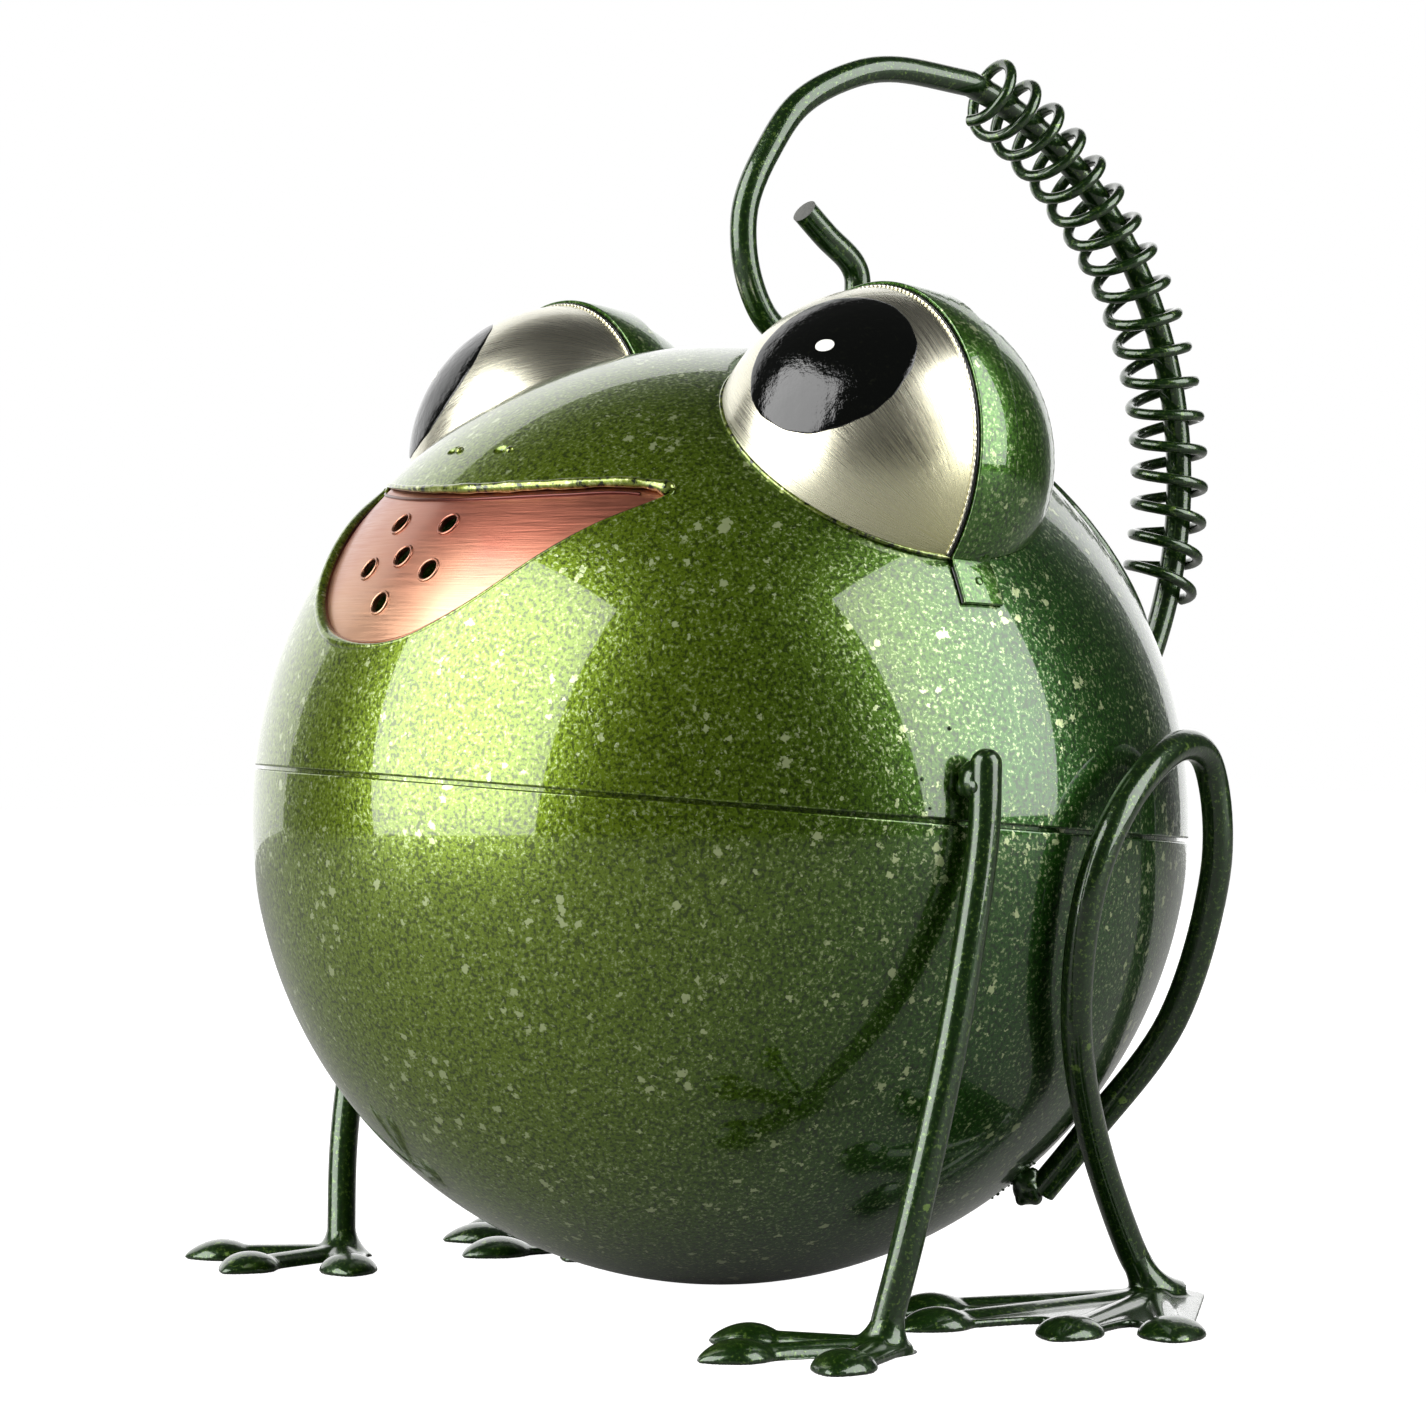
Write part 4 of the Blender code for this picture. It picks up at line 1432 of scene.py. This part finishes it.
@dataclass
class Handle:
    """The bent rod from the back of the body to the curl on top of the head."""

    paint: bpy.types.Material
    steel: bpy.types.Material
    rod_radius: float = 2.5
    arc: tuple[float, float] = (-46.0, 78.0)
    curl: list[tuple[float, float]] = field(
        default_factory=lambda: [
            (27.6, 140.8), (15.9, 137.5), (5.1, 130.6), (-1.5, 120.6), (-5.0, 111.7), (-5.0, 104.0),
            (-2.6, 96.6), (1.9, 90.6), (8.6, 87.7), (15.8, 88.9), (21.4, 94.0), (22.4, 99.9),
            (20.3, 103.9), (14.1, 107.7), (8.5, 111.6),
        ]
    )  # y, z
    rear_weld: tuple[float, float, float] = (4.2, 3.6, 4.6)
    front_weld: tuple[float, float, float] = (3.6, 5.2, 2.0)

    def build(self, posture: Posture) -> None:
        """Sweep the rod and heap its two welds.

        Args:
            posture: Where the can stands.
        """
        start, end = self.arc
        bend = [arc_point(start + (end - start) * i / 96) for i in range(96)]
        bend += smooth_path([arc_point(end), *[Vector((0.0, y, z)) for y, z in self.curl]], 8)
        form = Form()
        form.tube(bend, [self.rod_radius] * len(bend), 28, cap_look=1)
        rod = form.build("handle_rod_bent", posture.body, [self.paint, self.steel])
        hand_over(rod, "can", Slot.DARK, "handle_rod")
        welds, specks = Form(), Form()
        spots = (
            (arc_point(start + 2.5), self.rear_weld, 3), (Vector((0.0, 9.0, 86.2)), self.front_weld, 5)
        )
        for middle, radii, seed in spots:
            weld_bead(welds, middle, radii, seed)
            droplets(specks, middle, 9.0, 14, seed)
        bead = welds.build("handle_welds", posture.body, [self.paint])
        fuse(bead, WELD_GRID, 3)
        hand_over(bead, "can", Slot.DARK)
        hand_over(specks.build("handle_weld_specks", posture.body, [self.paint]), "can", Slot.DARK)


@dataclass
class GripCoil:
    """The loose wire coil on the handle. It slides round the handle's arc."""

    paint: bpy.types.Material
    steel: bpy.types.Material
    turns: float = 17.5
    wire_radius: float = 1.1
    mean_radius: float = 6.6
    sag: float = 2.6
    span: tuple[float, float] = (-10.5, 76.2)
    rise_turns: float = 5.0
    per_turn: int = 40

    def build(self, posture: Posture) -> None:
        """Wind the wire round the arc, hanging a little inside it.

        Args:
            posture: Where the can stands.
        """
        count = round(self.turns * self.per_turn)
        path = []
        for i in range(count + 1):
            along = self.span[0] + (self.span[1] - self.span[0]) * i / count
            turn = math.tau * i / self.per_turn
            sag = self.sag * min(1.0, self.turns * (1 - i / count) / self.rise_turns)
            reach = ARC_RADIUS - sag + self.mean_radius * math.cos(turn)
            path.append(arc_point(along, reach, self.mean_radius * math.sin(turn)))
        form = Form()
        form.tube(path, [self.wire_radius] * len(path), 16, cap_look=1)
        coil = form.build("grip_winding", posture.body, [self.paint, self.steel])
        hand_over(coil, "grip", Slot.DARK, "grip_coil")


# ---------------------------------------------------------------- legs and feet


@dataclass
class Leg:
    """A bent leg rod with its weld on the body."""

    name: str
    side: Side
    paint: bpy.types.Material
    knots: list[tuple[float, float, float]]  # left side, upright frame
    weld: tuple[float, float, float]
    round_top: bool
    rod_radius: float = 2.7
    weld_radii: tuple[float, float, float] = (3.2, 3.4, 3.8)

    def path(self) -> list[Vector]:
        """The rod's middle line on this side."""
        return smooth_path([(self.side.value * x, y, z) for x, y, z in self.knots], 10)

    def build(self, posture: Posture) -> None:
        """Sweep the rod, heap its weld and scatter a few droplets beside it.

        Args:
            posture: Where the can stands.
        """
        path = self.path()
        radii = [self.rod_radius] * len(path)
        if self.round_top:
            up = (path[0] - path[1]).normalized()
            dome = [math.radians(a) for a in (88, 75, 60, 45, 30, 15)]
            path = [*[path[0] + self.rod_radius * math.sin(a) * up for a in dome], *path]
            radii = [*[self.rod_radius * math.cos(a) for a in dome], *radii]
        form = Form()
        form.tube(path, radii, 28)
        rod = form.build(f"{self.name}_rod_{self.side.word}", posture.stance, [self.paint])
        hand_over(rod, "can", Slot.DARK, f"{self.name}_{self.side.word}")
        middle = Vector((self.side.value * self.weld[0], self.weld[1], self.weld[2]))
        weld = Form()
        weld_bead(weld, middle, self.weld_radii, len(self.knots) + self.side.value)
        bead = weld.build(f"{self.name}_weld_{self.side.word}", posture.stance, [self.paint])
        fuse(bead, WELD_GRID, 3)
        hand_over(bead, "can", Slot.DARK)
        specks = Form()
        droplets(specks, posture.in_body(middle), 7.0, 10, len(self.knots) * 3 + self.side.value)
        spray = specks.build(f"{self.name}_specks_{self.side.word}", posture.body, [self.paint])
        hand_over(spray, "can", Slot.DARK)


@dataclass
class Foot:
    """A pressed webbed foot with a domed pad on each toe and a trumpet where the leg comes in."""

    name: str
    leg: Leg
    paint: bpy.types.Material
    toes: list[tuple[float, float]]  # direction, length; left side
    pad: tuple[float, float]  # half length, half width
    valley: float
    heel: float
    rib: tuple[float, float]  # radius of the low ridge to each toe, at the ankle and at the pad
    plate: float = 1.4
    rib_rise: float = 1.25  # of the ridges above the plate
    pad_height: float = 3.6
    trumpet: float = 8.0  # height over which the leg widens into the foot
    trumpet_flare: float = 3.8

    def outline(self) -> list[Vector]:
        """The webbed outline about the ankle, for the left side.

        Returns:
            Points in XY, anticlockwise.
        """
        tip = 0.55 * self.pad[1]
        points = []
        for number, (direction, length) in enumerate(self.toes):
            turn = math.radians(direction)
            middle = Vector((length * math.cos(turn), length * math.sin(turn)))
            for step in (90, 60, 30, 0, -30, -60, -90):
                edge = turn + math.radians(step)
                points.append(middle + tip * Vector((math.cos(edge), math.sin(edge))))
            if number + 1 < len(self.toes):
                after, reach = self.toes[number + 1]
                between = math.radians((direction + after) / 2)
                depth = self.valley * (length + reach) / 2
                points.append(Vector((depth * math.cos(between), depth * math.sin(between))))
        first, last = self.toes[-1][0] - 80, self.toes[0][0] + 80 - 360
        for step in range(9):
            turn = math.radians(first + (last - first) * step / 8)
            points.append(Vector((self.heel * math.cos(turn), self.heel * math.sin(turn))))
        return smooth_path(points, 4, cyclic=True)

    def build(self, posture: Posture) -> None:
        """Melt the plate, the pads and the trumpet into one foot.

        Args:
            posture: Where the can stands.
        """
        floor = -posture.stance.translation.z / MM
        ankle = Vector((self.leg.knots[self.ankle_knot()][0], self.leg.knots[self.ankle_knot()][1]))
        flip = self.leg.side.value
        form = Form()
        outline = [Vector((flip * (ankle.x + p.x), ankle.y + p.y)) for p in self.outline()]
        form.prism(outline, floor, floor + self.plate)
        for direction, length in self.toes:
            turn = math.radians(direction)
            across, along = length * math.cos(turn), length * math.sin(turn)
            spot = (flip * (ankle.x + across), ankle.y + along, floor + 0.1)
            angle = turn if flip > 0 else math.pi - turn
            frame = Matrix.Translation(spot) @ Matrix.Rotation(angle, 4, "Z")
            form.almond(frame, (*self.pad, self.pad_height), 40, floor)
            crest = floor + self.plate + self.rib_rise
            start = Vector((flip * ankle.x, ankle.y, crest - self.rib[0]))
            end = Vector((spot[0], spot[1], crest - self.rib[1]))
            shares = [i / 10 for i in range(11)]
            widths = [self.rib[0] + (self.rib[1] - self.rib[0]) * s for s in shares]
            form.tube([start.lerp(end, s) for s in shares], widths, 20)
        path = self.leg.path()
        rise = [p for p in path if p.z < floor + self.trumpet + 2.0]
        rise.sort(key=lambda p: p.z)
        foot_point = rise[0].copy()
        foot_point.z = floor + 0.2
        shares = [i / 12 for i in range(13)]
        top = rise[-1]
        line = [foot_point.lerp(top, s) for s in shares]
        flare = [self.leg.rod_radius - 0.1 + self.trumpet_flare * (1 - s) ** 3 for s in shares]
        form.tube(line, flare, 28)
        foot = form.build(f"{self.name}_{self.leg.side.word}_pressed", posture.stance, [self.paint])
        fuse(foot, FOOT_GRID, 18)
        for vertex in foot.data.vertices:
            below = vertex.co.z < (floor + 0.12) * MM
            vertex.co.z = floor * MM if below else vertex.co.z
        hand_over(foot, "can", Slot.DARK, f"{self.name}_{self.leg.side.word}")

    def ankle_knot(self) -> int:
        """Which knot of the leg stands on the foot."""
        heights = [knot[2] for knot in self.leg.knots]
        return heights.index(min(heights))


# ---------------------------------------------------------------- studio


@dataclass(frozen=True)
class Softbox:
    """A rectangular studio light that faces the can."""

    name: str
    azimuth: float  # from the nose towards the frog's left
    elevation: float
    width: float  # metres
    height: float
    radiance: float
    distance: float = 1.3
    colour: str = "#ffffff"

    def build(self, target: Vector) -> None:
        """Hang the light.

        Args:
            target: The point that it faces.
        """
        light = bpy.data.lights.new(self.name, "AREA")
        light.shape = "RECTANGLE"
        light.size = self.width
        light.size_y = self.height
        light.energy = self.radiance * math.pi * self.width * self.height
        light.color = linear(self.colour)[:3]
        east, up = math.radians(self.azimuth), math.radians(self.elevation)
        way = Vector((math.sin(east) * math.cos(up), -math.cos(east) * math.cos(up), math.sin(up)))
        lamp = bpy.data.objects.new(self.name, light)
        lamp.location = target + self.distance * way
        lamp.rotation_euler = way.to_track_quat("Z", "Y").to_euler()
        lamp.visible_camera = False
        bpy.context.scene.collection.objects.link(lamp)


@dataclass
class Studio:
    """Floor, lights, surroundings and camera."""

    target: Vector
    lens: float = 117.758
    camera_offset: tuple[float, float, float] = (0.66960, -0.52201, 0.02310)  # metres from the target
    camera_turn: tuple[float, float] = (89.686, 52.148)  # tilt and turn
    floor_size: float = 6.0  # metres
    floor_depth: float = 20.0
    surround: float = 0.05

    def build(self) -> None:
        """Set everything up."""
        self.build_floor()
        self.build_world()
        lights = (
            Softbox("right_softbox", 119.0, 27.0, 0.98, 1.32, 5.6),
            Softbox("left_softbox", -14.0, 21.0, 1.2, 1.62, 6.0),
            Softbox("white_backdrop", -118.0, 20.0, 2.4, 1.2, 1.25),
        )
        for light in lights:
            light.build(self.target)
        self.build_camera()
        bpy.context.scene.view_settings.view_transform = "Standard"

    def build_floor(self) -> None:
        """Lay the floor, pure white to look at and duller in reflections."""
        half = self.floor_size / 2 / MM
        corners = [Vector(p) for p in ((-half, -half), (half, -half), (half, half), (-half, half))]
        form = Form()
        form.prism(corners, -self.floor_depth, 0.0)
        floor = form.build("floor", Matrix(), [PaleFloor("pale_floor").make()])

    def build_world(self) -> None:
        """Make the surroundings white to look at and dim as a light."""
        world = bpy.data.worlds.new("studio")
        world.use_nodes = True
        bpy.context.scene.world = world
        tree = world.node_tree
        tree.nodes.clear()
        seen = add_node(tree, "ShaderNodeLightPath", output="Is Camera Ray")
        glow = {"Color": linear("#ffffff"), "Strength": self.surround}
        dim = add_node(tree, "ShaderNodeBackground", glow)
        white = add_node(tree, "ShaderNodeBackground", {**glow, "Strength": 1.0})
        both = add_node(tree, "ShaderNodeMixShader", {0: seen, 1: dim, 2: white})
        add_node(tree, "ShaderNodeOutputWorld", {"Surface": both})

    def build_camera(self) -> None:
        """Place the camera."""
        data = bpy.data.cameras.new("camera")
        data.lens = self.lens
        camera = bpy.data.objects.new("camera", data)
        tilt, turn = self.camera_turn
        camera.rotation_euler = (math.radians(tilt), 0.0, math.radians(turn))
        camera.location = self.target + Vector(self.camera_offset)
        bpy.context.scene.collection.objects.link(camera)
        bpy.context.scene.camera = camera


# ---------------------------------------------------------------- the whole can

FRONT_KNOTS = [
    (88.0, -12.8, 10.4), (88.2, -13.6, -2.0), (88.2, -16.7, -19.0), (87.4, -20.6, -38.7),
    (85.0, -25.8, -63.6), (80.9, -29.2, -84.3),
]
HIND_KNOTS = [
    (62.1, 50.1, -84.3), (61.7, 43.9, -75.9), (70.0, 27.4, -54.1), (82.9, 12.0, -32.6), (88.8, 9.8, -10.9),
    (89.4, 18.1, 4.6), (84.7, 34.2, 13.0), (79.7, 46.4, 8.8), (77.6, 49.6, -9.8), (67.0, 49.4, -35.8),
    (52.1, 42.9, -56.5), (44.6, 38.4, -67.2),
]


def build_limbs(side: Side, posture: Posture, paint: bpy.types.Material) -> None:
    """Build both legs and feet of a side.

    Args:
        side: Which side.
        posture: Where the can stands.
        paint: Their enamel.
    """
    front = Leg("front_leg", side, paint, FRONT_KNOTS, (86.4, -13.6, 7.4), True)
    hind = Leg("hind_leg", side, paint, HIND_KNOTS, (43.0, 36.6, -66.6), False)
    front_toes = [(-55.6, 22.7), (-105.0, 25.8), (-150.0, 23.6)]
    hind_toes = [(-40.0, 46.0), (-60.5, 48.8), (-87.0, 53.7), (-106.0, 44.0)]
    feet = (
        Foot("front_foot", front, paint, front_toes, (7.4, 5.6), 0.3, 5.0, (3.4, 2.5)),
        Foot("hind_foot", hind, paint, hind_toes, (8.2, 6.0), 0.74, 8.5, (3.6, 3.0)),
    )
    for foot in feet:
        foot.leg.build(posture)
        foot.build(posture)


def main() -> None:
    """Build the can and its studio."""
    logging.basicConfig(level=logging.INFO, format="%(message)s")
    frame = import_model()
    posture = Posture.from_frame(frame)
    LOG.info("body centre %s", tuple(round(v, 4) for v in posture.stance.translation))

    body_green = SpatteredEnamel("green_enamel_body").make()
    strap_green = SpatteredEnamel("green_enamel_trim", deep="#35620b", warm="#426c12").make()
    dark_green = SpatteredEnamel(
        "dark_green_enamel_rods", deep="#153208", warm="#1b3c07", fleck="#6f8c3c", metallic=0.55,
        roughness=0.28, fleck_mm=4.0, fleck_reach=0.2, grain_depth=0.45, varnish_roughness=0.02,
    ).make()
    # paler green: painted highlight on the upper lip and the nostril lumps; the eye rims use it as well
    lip_green = SpatteredEnamel(
        "green_enamel_lip", deep="#566a1e", warm="#7e8c32", shadow="#141c05", fleck="#e6eaa8", grain_mm=1.3,
        grain_depth=1.0,
    ).make()
    copper = CopperLacquer("copper_lacquer_rose").make()
    # darker copper for the beads in the mouth's edges: painted shade
    shaded_copper = CopperLacquer("copper_lacquer_shaded_bead", thin="#9c6a4a", shade_dark="#5c2f2a").make()
    black = GlossEnamel("black_gloss_enamel", "#050605", "#15170f").make()
    white = GlossEnamel("white_gloss_enamel", "#f1f1ea", "#d9d9cc").make()
    steel = SawnSteel("sawn_steel").make()

    mouth = Mouth()
    bowls = Bowls(body_green, lip_green, shaded_copper, mouth)
    bowls.build(posture)
    Rose(copper, mouth).build(posture)
    FillerRim(dark_green, bowls).build(posture)
    gazes = {
        Side.LEFT: ((0.352, -0.763, 0.543), (0.339, -0.753, 0.564)),
        Side.RIGHT: ((-0.429, -0.779, 0.457), (-0.442, -0.769, 0.478)),
    }
    for side in Side:
        corner = posture.body.to_3x3() @ Vector((side.value * 25.0, 0.0, -16.8))
        silver = BrushedSilver(f"brushed_silver_{side.word}", tuple(corner)).make()
        Eye(side, silver, strap_green, black, white, lip_green, *gazes[side]).build(posture)
    Handle(dark_green, steel).build(posture)
    GripCoil(dark_green, steel).build(posture)
    for side in Side:
        build_limbs(side, posture, dark_green)
    Studio(posture.stance.translation.copy()).build()


if __name__ == "__main__":
    main()
